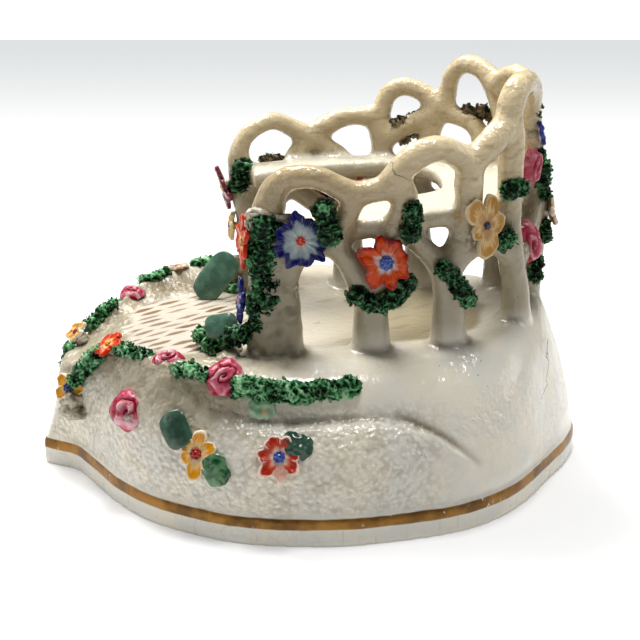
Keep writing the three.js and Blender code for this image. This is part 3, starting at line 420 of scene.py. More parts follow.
class Paint:
    """A material being mixed, in millimetres on the object, with its colour laid coat on coat."""

    def __init__(self, name):
        self.material = bpy.data.materials.new(name)
        self.material.use_nodes = True
        self.tree = self.material.node_tree
        self.shader = self.tree.nodes["Principled BSDF"]
        self.place = self.scaled(self.node("ShaderNodeTexCoord", {}, output="Object"), 1 / MM)
        self.coat = None

    def node(self, kind, settings, *inputs, output=0, **named):
        """A node of a kind, with its settings made first, then its sockets by number and by name."""
        made = self.tree.nodes.new(kind)
        for name, value in settings.items():
            setattr(made, name, value)
        for key, value in [*enumerate(inputs), *named.items()]:
            self.plug(made.inputs[key], value)
        return Value(self, made.outputs[output])

    def plug(self, socket, value):
        """Links a value to a socket, or sets a plain one on it."""
        if isinstance(value, Value):
            self.tree.links.new(value.socket, socket)
        elif hasattr(value, "__len__") and len(value) == 3 and socket.type == "RGBA":
            socket.default_value = (*value, 1)
        else:
            socket.default_value = value

    def axes(self):
        parts = self.node("ShaderNodeSeparateXYZ", {}, self.place).socket.node.outputs
        return [Value(self, socket) for socket in parts]

    def vector(self, x, y, z=0.0):
        return self.node("ShaderNodeCombineXYZ", {}, x, y, z)

    def scaled(self, vector, amount):
        return self.node("ShaderNodeVectorMath", {"operation": "SCALE"}, vector, Scale=amount)

    def distance(self, spot):
        return self.node("ShaderNodeVectorMath", {"operation": "DISTANCE"}, self.place, spot, output="Value")

    def attribute(self, name):
        return self.node("ShaderNodeAttribute", {"attribute_name": name}, output="Fac")

    def noise(self, scale, detail=3.0, place=None, roughness=0.55, output=0):
        tuned = {"Scale": scale, "Detail": detail, "Roughness": roughness}
        return self.node("ShaderNodeTexNoise", {}, Vector=place or self.place, output=output, **tuned)

    def cells(self, scale, feature="F1", place=None):
        tuned = {"Vector": place or self.place, "Scale": scale, "Randomness": 1.0}
        return self.node("ShaderNodeTexVoronoi", {"feature": feature}, output="Distance", **tuned)

    def stirred(self, scale, amount):
        """The place, shifted by a noise of its own."""
        moved = self.scaled(self.noise(scale, 1.0, roughness=0.5, output="Color"), amount)
        return self.node("ShaderNodeVectorMath", {"operation": "ADD"}, self.place, moved)

    def chance(self, *place):
        """A number from 0 to 1 of its own for each place."""
        solid = {"noise_dimensions": "3D"}
        return self.node("ShaderNodeTexWhiteNoise", solid, self.vector(*place), output="Value")

    def mix(self, factor, first, second):
        made = self.tree.nodes.new("ShaderNodeMix")
        made.data_type = "RGBA"
        for number, value in ((0, factor), (6, first), (7, second)):
            self.plug(made.inputs[number], value)
        return Value(self, made.outputs[2])

    def lay(self, mask, tone):
        """Lays a coat of a tone over the colour that is there, as far as mask says."""
        self.coat = self.mix(mask, self.coat, tone)

    def shine(self, roughness, **sockets):
        """Gives the shader its colour, its roughness and others, with spaces for their names' underlines."""
        for name, value in {"Base_Color": self.coat, "Roughness": roughness, **sockets}.items():
            self.plug(self.shader.inputs[name.replace("_", " ")], value)
        return self.material

    def bump(self, height, depth):
        """Raises the surface by height, 0 to 1, times depth in millimetres."""
        raised = self.node("ShaderNodeBump", {}, Height=height, Distance=depth * MM, Strength=1.0)
        self.plug(self.shader.inputs["Normal"], raised)


# Cracks in the glaze: the least x of the side that each is on, and its points, in y and z
CRACKS = [
    (24, [(15.9, 86.6), (17, 84.3), (18.3, 83.6), (20.4, 82.6), (22.4, 82)]),
    (12, [(59.8, 34.8), (58.5, 32), (59.1, 29.8), (57.6, 27), (57.8, 25.4), (55.2, 24)]),
]
GILT_LINE = (4.25, 4.6, 6.9, 7.2)  # heights between which the gilt line fades in, and out
STAIN = (29, 32.6, 72)  # a rusty spot on the lattice
CHIP = (44.4, -14.6, 30.6)  # the bare spot in the thin green leaf


def glaze_material():
    """The body's glaze: cream to tan, crazed and stained, with floor strokes, a gilt line, and painted shade
    and light.
    """
    tint = bpy.context.scene.bower_colours
    paint = Paint("Glaze")
    x, y, z = paint.axes()
    broad = paint.noise(0.05)
    fine = paint.noise(0.4, 4.0)
    stray = fine - 0.5
    bank = paint.attribute("bank")
    floor = paint.attribute("floor")
    grain = paint.attribute("grain")
    in_hollows = paint.attribute("hollow_depth")

    paint.coat = paint.mix(paint.noise(0.09, 4.0).step(0.35, 0.65), tint.glaze, tint.warm_glaze)
    # Greyer glaze over the lattice from the rim up: worn glaze, and painted shade on its lower, shaded parts
    paint.lay(z.step(38, 46) * (0.85 + 0.15 * broad), tint.worn_and_shaded_glaze)
    paint.lay((z + 10 * (broad - 0.5)).step(66, 82) * 0.95, tint.aged_glaze)
    # Painted shade: brown on the faces that look down, under the seat and the arches
    paint.lay(paint.attribute("under") * 0.75, srgb(150, 132, 98))
    # Banks, the near post's foot and the crease at the skirt's end: worn glaze, with painted shade where the
    # seat and rim shade the banks and in the crease
    paint.lay(bank * (0.7 + 0.4 * fine), tint.worn_and_shaded_glaze)
    paint.lay((paint.attribute("brink") * (0.35 + 0.7 * fine)).least(0.85), srgb(132, 118, 90))
    # Painted shadow: the floor darker towards the back, under the seat and the lattice
    paint.lay(floor, paint.mix(y.step(-8, 26), srgb(208, 201, 186), srgb(168, 158, 130)))
    paint.lay(floor_strokes(paint, x, y) * floor, tint.brushed_brown)

    pits = paint.cells(0.85, "SMOOTH_F1", paint.stirred(0.5, 0.8))
    blotch = paint.noise(0.22).step(0.35, 0.6)
    paint.lay(grain * pits.step(0.25, 0.6) * (0.12 + 0.3 * blotch), srgb(150, 138, 114))
    # Darker brown where the body lies in hollows
    paint.lay((in_hollows * (0.45 + 0.9 * fine)).least(0.9), tint.grime_and_leaf_shade)

    # Streaks along the rolled rods: upright in the stems, level in the rail
    lying = paint.vector(x * 0.7, y * 0.12, z * 0.7)
    standing = paint.vector(x * 0.7, y * 0.7, z * 0.12)
    rolled = paint.noise(1.0, 3.0, paint.mix(z.step(76, 80), standing, lying))
    paint.lay(rolled.step(0.5, 0.72) * z.step(50, 76) * 0.5, srgb(152, 128, 86))
    # Browner on the +X side's upper lattice and seat: browned glaze, and painted shade on this side, which
    # lies in shade
    browned_and_shaded = z.band(66, 72, 84, 92) * y.step(26, 0) * x.step(10, 20)
    paint.lay(browned_and_shaded * 0.55, srgb(150, 128, 92))
    # Painted shade: darker on the lattice's middle heights, which lie shaded under the arches and flowers
    paint.lay(z.band(43, 49, 64, 70) * 0.22, srgb(116, 104, 76))
    # Pale cream on the seat: its own glaze, with painted light making the upward faces, its lit top, the
    # palest
    paint.lay(paint.attribute("slab") * (1.05 - 0.3 * fine), srgb(234, 228, 208))

    craze = paint.cells(0.42, "DISTANCE_TO_EDGE", paint.stirred(0.15, 5.0))
    lines = craze.step(0.02, 0.0) * broad.step(0.44, 0.6)
    paint.lay(lines * (0.14 + 0.22 * z.step(50, 80)), tint.grime_and_leaf_shade)
    for low, points in CRACKS:
        near = hairline(y + 2.2 * stray, z + 2.2 * stray, points)
        paint.lay(near.step(0.16, 0.06) * (x > low) * 0.85, srgb(64, 46, 30))
    paint.lay((paint.distance(STAIN) + 4 * stray).step(2.6, 0.8) * 0.5, srgb(176, 132, 66))
    holes = paint.cells(0.3).step(0.07, 0.035) * paint.noise(0.12, 1.0).step(0.52, 0.58)
    paint.lay(holes * 0.75, tint.grime_and_leaf_shade)

    line = (z + 0.6 * (paint.noise(0.12, 2.0) - 0.5)).band(*GILT_LINE)
    rubbed = (y - x * 0.6).band(-6, 12, 12, 26) * 0.12
    gilt = line * (paint.noise(0.35, 4.0) - rubbed).step(0.27, 0.33)
    paint.lay(gilt, paint.mix(paint.noise(0.13).step(0.38, 0.62), tint.gilt, srgb(110, 74, 22)))
    drips = paint.noise(1.0, 2.0, paint.vector(x * 0.9, y * 0.9, z * 0.06))
    paint.lay(drips.step(0.6, 0.7) * z.step(5, 3.5) * 0.2, srgb(150, 138, 118))

    worked = 0.5 + 0.6 * z.step(50, 74) + 0.9 * z.band(19, 24, 29, 32) * x.step(24, 36)
    paint.bump(grain * pits.least(0.8) + worked * paint.noise(0.5, 2.0) + 0.2 * fine - 0.1 * lines, 0.42)
    return paint.shine(0.1 + 0.12 * fine + 0.2 * gilt + 0.15 * in_hollows + 0.15 * bank, Metallic=gilt * 0.5)


def hairline(across, up, points):
    """The distance to a line through points."""
    nearest = 99
    for (a, b), (c, d) in zip(points, points[1:]):
        long = (c - a) ** 2 + (d - b) ** 2
        on = ((across - a) * ((c - a) / long) + (up - b) * ((d - b) / long)).most(0).least(1)
        aside = across - a - on * (c - a)
        above = up - b - on * (d - b)
        nearest = (aside * aside + above * above).power(0.5).least(nearest)
    return nearest


def floor_strokes(paint, x, y):
    """Tapered brown strokes in staggered rows, aslant across the floor, and few of them towards its back."""
    slope = math.radians(30)
    pitch, reach = 3.1, 8.5
    along = y * math.cos(slope) - x * math.sin(slope)
    across = y * math.sin(slope) + x * math.cos(slope) + 1.6 * (paint.noise(0.12, 2.0) - 0.5)
    row = (across / pitch).floor()
    place = (along + paint.chance(row, 3.7) * reach * 3) / reach
    cell = place.floor()
    luck = paint.chance(row, cell, 1.3)
    bow = (place - cell - 0.5).away() * 2
    beside = across / pitch - row - (0.4 + 0.2 * paint.chance(row, cell, 7.7))
    half = (0.2 + 0.16 * luck) * (1 - bow * bow * 1.25)
    edge = half - beside.away() + 0.16 * (paint.noise(0.9) - 0.5)
    shown = (luck - y.step(-22, 4) * 0.7) > 0.06
    return edge.step(-0.08, 0.14) * (0.6 + 0.4 * luck) * shown * (1 - 0.75 * y.step(-24, -6))


def leaf_material():
    """Shredded leaf: painted highlight on raised edges, painted shade almost black in hollows, bare where the
    brush missed.
    """
    tint = bpy.context.scene.bower_colours
    paint = Paint("Shredded leaf")
    # tone: each curl's share of painted highlight, in broad patches
    tone = paint.attribute("tone") * (0.5 + 0.9 * paint.noise(0.24, 2.0).step(0.4, 0.62))
    patch = paint.noise(0.5) - 0.5
    high = paint.attribute("depth") + 0.3 * patch
    # Painted shade in the hollows, and mid green on the raised parts
    paint.coat = paint.mix((high + 0.28 * tone).step(0.84, 1.05), tint.leaf_shade, tint.leaf)
    # Painted highlight on the raised edges, as far as the tone allows
    paint.lay(((high + 0.1 * tone).step(0.84, 1.08) * tone * 1.2).least(0.95), tint.leaf_highlight)
    # Bare clay of the leaf: painted shade, dark brown, in its hollows, and lighter on its raised parts
    clay = paint.mix(high.step(0.7, 1.0), tint.grime_and_leaf_shade, tint.biscuit)
    paint.coat = paint.mix((paint.attribute("bare") + 0.8 * patch).step(0.35, 0.65), paint.coat, clay)
    glossy = high.step(0.8, 1.1) * 0.6
    return paint.shine(0.3, Specular_IOR_Level=0.12, Coat_Weight=glossy, Coat_Roughness=0.12)


def petal_material(name, ring, body, tip, tip_start, streaks, edge):
    """A painted petal, from ring at the middle through body to tip, where reach passes tip_start."""
    paint = Paint(name)
    reach = paint.attribute("reach")
    side = paint.attribute("side")
    petal = paint.attribute("tone")
    stir = paint.noise(0.7) - 0.5
    brush = paint.noise(1.0, 2.0, paint.vector(side * 5, reach * 1.2, petal * 9)) - 0.5
    paint.coat = paint.mix((reach + 0.25 * stir).step(0.26, 0.5), srgb(*ring), srgb(*body))
    paint.lay((reach + 0.22 * stir + streaks * brush).step(tip_start - 0.1, tip_start + 0.1), srgb(*tip))
    if edge:
        clefts = (side + 0.2 * stir).step(0.8, 0.98) * reach.step(0.55, 0.8) * 0.7
        pale_petals = (petal > 0.8) * (0.5 + stir) * reach.step(0.3, 0.5)
        paint.lay((reach + 0.1 * stir).step(0.86, 0.97).most(clefts).most(pale_petals), srgb(*edge))
    paint.lay(brush.step(0.02, -0.2) * 0.25, srgb(*tip))
    paint.lay(brush.step(0.02, 0.2) * 0.2, srgb(*ring))
    paint.bump(0.5 + brush, 0.12)
    return paint.shine(0.14 + 0.12 * (stir + 0.5), Specular_IOR_Level=0.2)


def enamel_material(name, light, dark, scale):
    """A plain enamel that thins over raised places and gathers darker beside them."""
    paint = Paint(name)
    patch = paint.noise(scale)
    paint.coat = paint.mix(patch.step(0.35, 0.62), srgb(*dark), srgb(*light))
    paint.bump(patch, 0.12)
    return paint.shine(0.14 + 0.12 * patch)


def rose_material():
    """Pink enamel: pale on the turned-out edges, crimson in the folds, darker on the roses at the back."""
    paint = Paint("Rose enamel")
    stir = paint.noise(0.5) - 0.5
    fold = paint.attribute("reach") + 0.6 * stir
    paint.coat = paint.mix(fold.step(0.1, 0.42), srgb(140, 14, 40), srgb(198, 88, 114))
    paint.lay(fold.step(0.5, 0.95), srgb(222, 170, 178))
    crimson = paint.noise(0.36, 2.0).step(0.5, 0.58).most(paint.attribute("tone") * 0.6)
    paint.lay(crimson * 0.75, srgb(156, 26, 52))
    paint.bump(stir + 0.5, 0.15)
    return paint.shine(0.14 + 0.16 * (stir + 0.5), Specular_IOR_Level=0.35)


def smooth_leaf_material(name, deep, light):
    """A smooth leaf's bluish green, thin and pale along its edge, with specks."""
    paint = Paint(name)
    patch = paint.noise(0.35)
    paint.coat = paint.mix(patch.step(0.35, 0.75), deep, light)
    paint.lay((paint.attribute("side") + 0.25 * (patch - 0.5)).step(0.95, 1.02) * 0.5, srgb(140, 150, 128))
    paint.lay(paint.cells(0.7).step(0.12, 0.06) * 0.8, srgb(10, 22, 18))
    paint.bump(patch, 0.1)
    return paint.shine(0.12 + 0.15 * patch)


def thin_green_material():
    """Green enamel that ran thin over the glaze, with a bare chip in it."""
    paint = Paint("Thin green")
    patch = paint.noise(0.35)
    paint.coat = paint.mix(patch.step(0.35, 0.62), srgb(92, 146, 102), srgb(150, 182, 150))
    paint.lay((paint.attribute("side") + 0.6 * (patch - 0.5)).step(0.7, 1.05), srgb(168, 188, 164))
    paint.lay((paint.distance(CHIP) + 1.6 * (patch - 0.5)).step(1.3, 0.9), srgb(196, 166, 124))
    paint.bump(patch, 0.2)
    return paint.shine(0.14 + 0.12 * patch)


def slip_material():
    """Rough slip, darker in its dips."""
    paint = Paint("Rough slip")
    patch = paint.noise(0.5, 4.0)
    paint.coat = paint.mix(patch.step(0.36, 0.62), srgb(126, 112, 88), srgb(196, 188, 168))
    paint.bump(patch, 0.4)
    return paint.shine(0.22 + 0.2 * patch)


# The body's pieces


def mound():
    """The mound as one closed grid, from its underside's middle up over the rim to the floor's middle line,
    and the outline of the floor."""
    size = bpy.context.scene.bower_sizes
    edge = size.foot_edge / MM
    right = [Vector(point) for point in OUTLINE]
    left = [Vector((-x, y)) for x, y in OUTLINE[-2:0:-1]]
    plan = Path(right + left, closed=True)
    profiles = Path(list(PROFILES.values()), list(PROFILES))
    half = len(OUTLINE) - 1
    columns, climb, inward_rows = 8 * half, 44, 10

    def column(number):
        turn = number / columns * 2 * half
        foot = plan.at(turn)
        along = min(turn, 2 * half - turn)
        middle_y, middle_z, *levels = profiles.at(along)
        aim = np.array((foot[0] * FRONT_SPREAD * max(0, 1 - along / 5), middle_y))
        inward = (aim - foot) / np.linalg.norm(aim - foot)
        swell = np.clip((foot[1] + 66) / 28, 0, 1) * np.clip((44 - foot[1]) / 20, 0, 1)
        lift = FAR_RIM_LIFT * swell if turn > half else 0
        steps = [(EDGE_ROUND, edge)]
        for share, inset, height in zip(LIFTS, levels[::2], levels[1::2]):
            steps.append((inset, height + share * lift))
        points = [(*(foot + inset * inward), height) for inset, height in steps]
        profile = even(points)
        centre = np.array((0, middle_y, middle_z))
        rows = [centre * (1, 1, 0), (*foot, 0), (*foot, edge - EDGE_ROUND)]
        rows += [profile.at(profile.knots[-1] * i / climb) for i in range(climb)]
        last = np.array(points[-1])
        rows += [last + (centre - last) * i / inward_rows for i in range(inward_rows + 1)]
        return [Vector(row) * MM for row in rows]

    grid = [column(number) for number in range(columns)]
    tall = len(grid[0]) - 1

    def place(u, v):
        return grid[round(u * columns) % columns][round(v * tall)]

    piece = shaped_grid("mound", columns, tall, place)
    in_edit(piece, merge_doubles, face_outwards)
    return piece, [rows[-inward_rows - 1].xy / MM for rows in grid]


def seat():
    """The seat slab, lofted along its ribs with eased edges."""
    size = bpy.context.scene.bower_sizes
    ribs = Path(SEAT_RIBS)
    thick = size.seat_thickness / MM
    top = size.seat_top / MM
    steps, round_steps, ease = 90, 24, 0.9

    def place(u, v):
        rib = ribs.at(u * (len(SEAT_RIBS) - 1))
        inner, outer = Vector(rib[:2]), Vector(rib[2:])
        width = (outer - inner).length
        turn = 2 * math.pi * v
        squared = [math.copysign(abs(f(turn)) ** 0.28, f(turn)) for f in (math.cos, math.sin)]
        on = inner.lerp(outer, 0.5 + 0.5 * squared[0] * (1 - 0.2 * ease / width))
        sag = size.seat_sag / MM * smoothstep(0, 26, on.x) * smoothstep(-26, -4, -on.y)
        return Vector((on.x, on.y, top - thick / 2 + thick / 2 * squared[1] - sag)) * MM

    piece = shaped_grid("seat", steps, round_steps, place)
    in_edit(piece, merge_doubles, cap_ends, face_outwards)
    return piece


def rods():
    """All rolled rods as round tubes, from one curve with a radius at each knot."""
    bpy.ops.object.select_all(action="DESELECT")
    bpy.ops.curve.primitive_bezier_curve_add()
    piece = bpy.context.active_object
    drawn = piece.data
    drawn.splines.clear()
    drawn.dimensions = "3D"
    drawn.bevel_depth = 1
    drawn.bevel_resolution = 4
    drawn.resolution_u = 6
    drawn.use_fill_caps = True
    for path in NEAR_RODS + FAR_RODS:
        spline = drawn.splines.new("BEZIER")
        spline.bezier_points.add(len(path) - 1)
        for knot, (x, y, z, radius) in zip(spline.bezier_points, path):
            knot.co = Vector((x, y, z)) * MM
            knot.radius = (radius + ROD_SHRINK) * MM
            knot.handle_left_type = knot.handle_right_type = "AUTO"
    bpy.ops.object.convert(target="MESH")
    return bpy.context.active_object


def cavity(piece, rounds, reach):
    """How far each point lies in a hollow, 0 to 1: its height below the mean of its neighbourhood."""
    places = points_of(piece)
    edges = np.empty(len(piece.data.edges) * 2, int)
    piece.data.edges.foreach_get("vertices", edges)
    first, second = edges[::2], edges[1::2]
    count = np.bincount(edges, minlength=len(places))[:, None].clip(1)
    mean = places.copy()
    for _ in range(rounds):
        total = np.zeros_like(mean)
        np.add.at(total, first, mean[second])
        np.add.at(total, second, mean[first])
        mean = 0.5 * mean + 0.5 * total / count
    sunk = ((mean - places) * points_of(piece, "normal")).sum(axis=1)
    return smoothstep(0, reach, sunk)


def from_stretch(a, b, x, y):
    """How far points lie from the straight stretch between a and b."""
    run, rise = b[0] - a[0], b[1] - a[1]
    on = np.clip(((x - a[0]) * run + (y - a[1]) * rise) / max(run**2 + rise**2, 1e-6), 0, 1)
    return np.hypot(x - a[0] - on * run, y - a[1] - on * rise)


def depth_inside(outline, x, y):
    """How far points lie inside a closed outline, negative outside it."""
    hit = np.zeros(len(x), bool)
    nearest = np.full(len(x), np.inf)
    for a, b in zip(outline, outline[1:] + outline[:1]):
        if a[1] != b[1]:
            hit ^= ((a[1] > y) != (b[1] > y)) & (x < (b[0] - a[0]) * (y - a[1]) / (b[1] - a[1]) + a[0])
        nearest = np.minimum(nearest, from_stretch(a, b, x, y))
    return np.where(hit, nearest, -nearest)


def depth_below(line, x, y):
    """How far points lie below a line of points, negative above it."""
    nearest = np.full(len(x), np.inf)
    for a, b in zip(line, line[1:]):
        far = from_stretch(a, b, x, y)
        low = np.sign((x - a[0]) * (b[1] - a[1]) - (y - a[1]) * (b[0] - a[0]))
        nearest = np.where(far < abs(nearest), far * low, nearest)
    return nearest


# The end of the crease on the mound's +X side, where it runs down towards the foot, in y and z
SKIRT_END = [(16.5, 28.6), (20.2, 27), (23.1, 25.9), (26.8, 24), (31.5, 20.8), (36.2, 16.8)]


def fused_body():
    """Mound, seat and rods as one skin, as slip and firing fuse them, and the outline of the floor."""
    ground, floor_outline = mound()
    body = joined("bower_body", [ground, seat(), rods()])
    modify(body, "REMESH", mode="VOXEL", voxel_size=bpy.context.scene.bower_sizes.skin)
    openwork = body.vertex_groups.new(name="openwork")
    weights = smoothstep(36, 41.5, points_of(body)[:, 2] / MM)
    for number in np.flatnonzero(weights > 0.02):
        openwork.add([int(number)], float(weights[number]), "REPLACE")
    modify(body, "SMOOTH", factor=0.5, iterations=3)
    modify(body, "SMOOTH", factor=0.5, iterations=6, vertex_group="openwork")
    body.vertex_groups.clear()
    return body, floor_outline


def relief(places, scale):
    """A noise from -1 to 1 at each place, with this many waves to the metre."""
    return np.array([noise.noise(Vector(place) * scale) for place in places])


def fired_body():
    """The fused body, with its hand-pressed surface and a mask for each part of its finish and of its painted
    shade and light.
    """
    body, floor_outline = fused_body()
    places = points_of(body)
    seen = places[:, 2] > 0.9 * MM
    places[~seen, 2] = 0
    shown = places[seen]
    normals = points_of(body, "normal")[seen]
    x, y, z = shown.T / MM
    facing_up = normals[:, 2]

    floor_depth = depth_inside(floor_outline, x, y)
    floor = smoothstep(-1.2, 1.2, floor_depth) * smoothstep(40.5, 39, z)
    brink = smoothstep(0.1, 0.35, smoothstep(-20, 20, floor_depth)) * (1 - floor)
    brink *= band(z, 37.5, 38.5, 44, 46) * smoothstep(20, -10, y)
    brink *= np.maximum(smoothstep(12, -20, x), smoothstep(-30, -45, y))
    seat_outline = [rib[2:] for rib in SEAT_RIBS] + [rib[:2] for rib in SEAT_RIBS[::-1]]
    slab = smoothstep(-0.6, 0.6, depth_inside(seat_outline, x, y)) * band(z, 66.5, 68, 74.5, 75.2)
    banks = band(z, 22, 32, 39, 41.5) * (1 - floor) * smoothstep(0, -30, y)
    near_post = smoothstep(20, 24, x) * band(y, -30, -20, -8, -2) * band(z, 36, 40, 54, 60)
    rough = np.maximum(banks, near_post)
    below = depth_below(SKIRT_END, y, z)
    skirt_end = smoothstep(30, 36, x) * band(y, 14, 21, 30, 41)
    furrow = skirt_end * np.exp(-((below / 0.9) ** 2))
    lip = skirt_end * np.exp(-(((below - 2) / 1.4) ** 2))
    grain = band(z, 7, 9, 26, 34) * smoothstep(34, 20, y)

    uneven = np.array([noise.fractal(Vector(place) * 55, 1, 2, 3) for place in shown])
    rise = 0.3 * uneven * (1 - 0.6 * floor) + 0.6 * relief(shown, 210) * rough
    rise += 0.4 * relief(shown, 520) * np.maximum(banks * 0.8, near_post) + 0.5 * (lip - furrow)
    places[seen] += normals * rise[:, None] * MM
    body.data.vertices.foreach_set("co", places.ravel())
    body.data.update()

    masks = {
        "floor": floor,
        "brink": brink,
        # slab: the seat's own glaze, with painted light on its upward faces
        "slab": slab * smoothstep(-0.5, 0.7, facing_up),
        # bank: worn glaze with painted shade on the banks, and painted shade in the crease's furrow
        "bank": np.maximum(rough, furrow * 0.7),
        "grain": np.maximum(grain, banks * 0.8),
        # under: painted shade on the downward faces high on the body
        "under": smoothstep(-0.45, 0.6, -facing_up) * smoothstep(50, 70, z),
    }
    for name, values in masks.items():
        full = np.zeros(len(places))
        full[seen] = values
        store(body, name, full)
    store(body, "hollow_depth", cavity(body, 12, 0.6 * MM))
    finish(body, "glaze", glaze_material())


# Applied work


def seating(place, normal, along=None):
    """Where a piece is set: z along normal, and x level to the right, or near along where it is given."""
    z = Vector(normal).normalized()
    if along is None:
        x = UP.cross(z).normalized() if abs(z.z) < 0.98 else Vector((0, 1, 0))
    else:
        x = Vector(along)
        x = (x - z * x.dot(z)).normalized()
    turned = Matrix((x, z.cross(x), z)).transposed()
    return Matrix.Translation(Vector(place) * MM) @ turned.to_4x4()


def curl():
    """A bent pinch of shredded clay, standing like a hoop: a small pentagon spun through part of a turn."""
    size = bpy.context.scene.bower_sizes
    bpy.ops.object.select_all(action="DESELECT")
    bpy.ops.mesh.primitive_circle_add(
        vertices=5, radius=size.curl_thickness, fill_type="NGON",
        location=(size.curl_radius, 0, 0), rotation=(math.pi / 2, 0, 0),
    )
    piece = bpy.context.active_object
    piece.name = "curl"
    pick(piece)
    bpy.ops.object.transform_apply(location=True, rotation=True, scale=True)

    def spin():
        bpy.ops.mesh.spin(steps=6, angle=math.radians(190), center=(0, 0, 0), axis=(0, -1, 0))

    in_edit(piece, spin, merge_doubles, face_outwards)
    return piece


def strewn(name, prototype, stances, extras):
    """One mesh of many copies of a prototype: a stance and a row of extra numbers for each copy."""
    corners = np.c_[points_of(prototype), np.ones(len(prototype.data.vertices))]
    faces = [list(face.vertices) for face in prototype.data.polygons]
    vertices = []
    polygons = []
    for stance in stances:
        start = len(vertices)
        vertices.extend((corners @ np.array(stance).T)[:, :3])
        polygons.extend([start + number for number in face] for face in faces)
    mesh = bpy.data.meshes.new(name)
    mesh.from_pydata(vertices, [], polygons)
    piece = bpy.data.objects.new(name, mesh)
    bpy.context.collection.objects.link(piece)
    for key in extras[0]:
        store(piece, key, np.repeat([extra[key] for extra in extras], len(corners)))
    return piece


def outward(place):
    """Away from the inside of the bower, at a place in plan."""
    return Vector((place[0], max(place[1] - 12, 0) * 1.4, 0)).normalized()


def vector_of(draw, *limits):
    """A vector of three draws of chance."""
    return Vector([draw(*limits) for _ in range(3)])


CLUMP_DETAIL = (3, 4)  # fineness of a clump on the -X side and on the +X side
CLUMP_PITCH = 3  # how far apart the clumps of a garland are
# The rim's leaf takes more painted highlight than the lattice's, as light falls more on the rim
RIM_TOP = 42  # leaf below this height is on the rim and brighter than leaf on the lattice


def leaf_garland(name, path, half, prototype, bare, chance):
    """Clumps of shredded leaf along a path: crumpled cores, with curls standing all over them."""
    size = bpy.context.scene.bower_sizes
    line = even(path)
    count = max(1, round(sum(math.dist(a, b) for a, b in zip(path, path[1:])) / CLUMP_PITCH)) + 1
    half = Vector(half)
    spread = 4 * math.pi * ((half.x * half.y + half.x * half.z + half.y * half.z) / 3)
    stances, extras, middles, cores, hollows, backs, highlight_tones = [], [], [], [], [], [], []

    def bareness(way, centre):
        """How far a way from a clump's centre points into the bower, 0 to 1, where the back is bare."""
        return 0.5 - 0.5 * way.dot(outward(centre)) if bare else 0

    for i in range(count):
        centre = Vector(line.at(line.knots[-1] * i / (count - 1))) + vector_of(chance.uniform, -0.5, 0.5)
        fit = chance.uniform(0.86, 1.08)
        bpy.ops.mesh.primitive_ico_sphere_add(subdivisions=CLUMP_DETAIL[centre.x > 0], radius=1)
        core = bpy.context.active_object
        for vertex in core.data.vertices:
            way = vertex.co.copy()
            on = way * half
            ridge = 1 - 2.6 * abs(noise.noise((on + centre) * 0.62))
            ridge += 0.6 * (1 - 3 * abs(noise.noise((on + centre) * 1.3)))
            vertex.co = (centre + on * fit * (0.74 + 0.18 * ridge)) * MM
            hollows.append(0.7 + 0.18 * ridge)
            backs.append(bareness(way, centre))
            # Each core's share of painted highlight, larger on the rim
            highlight_tones.append(0.6 if centre.z < RIM_TOP else 0.2)
        cores.append(core)
        for _ in range(int(spread * size.curl_spacing)):
            way = vector_of(chance.gauss, 0, 1).normalized()
            deep = chance.uniform(0.62, 0.84) * fit
            spot = centre + way * deep * half
            normal = Vector(c / h for c, h in zip(way, half)).normalized()
            lean = vector_of(chance.uniform, -0.35, 0.35)
            roll = vector_of(chance.gauss, 0, 1)
            grown = chance.uniform(0.65, 1.2)
            broad = grown * chance.uniform(1, 1.6)
            stances.append(seating(spot, normal + lean, roll) @ Matrix.Diagonal((grown, broad, grown, 1)))
            middles.append(centre)
            # Each curl's share of painted highlight: chance, and larger on the rim
            tone = chance.uniform(0.2, 1) * (1 if spot.z < RIM_TOP else 0.62)
            extras.append({"bare": bareness(way, centre), "tone": tone})
    curls = strewn(name, prototype, stances, extras)
    middles = np.repeat(np.array(middles), len(prototype.data.vertices), axis=0)
    store(curls, "depth", np.linalg.norm((points_of(curls) / MM - middles) / np.array(half), axis=1))
    core = joined(name + "_core", cores)
    store(core, "depth", hollows)
    store(core, "bare", backs)
    store(core, "tone", highlight_tones)
    return joined(name, [curls, core])


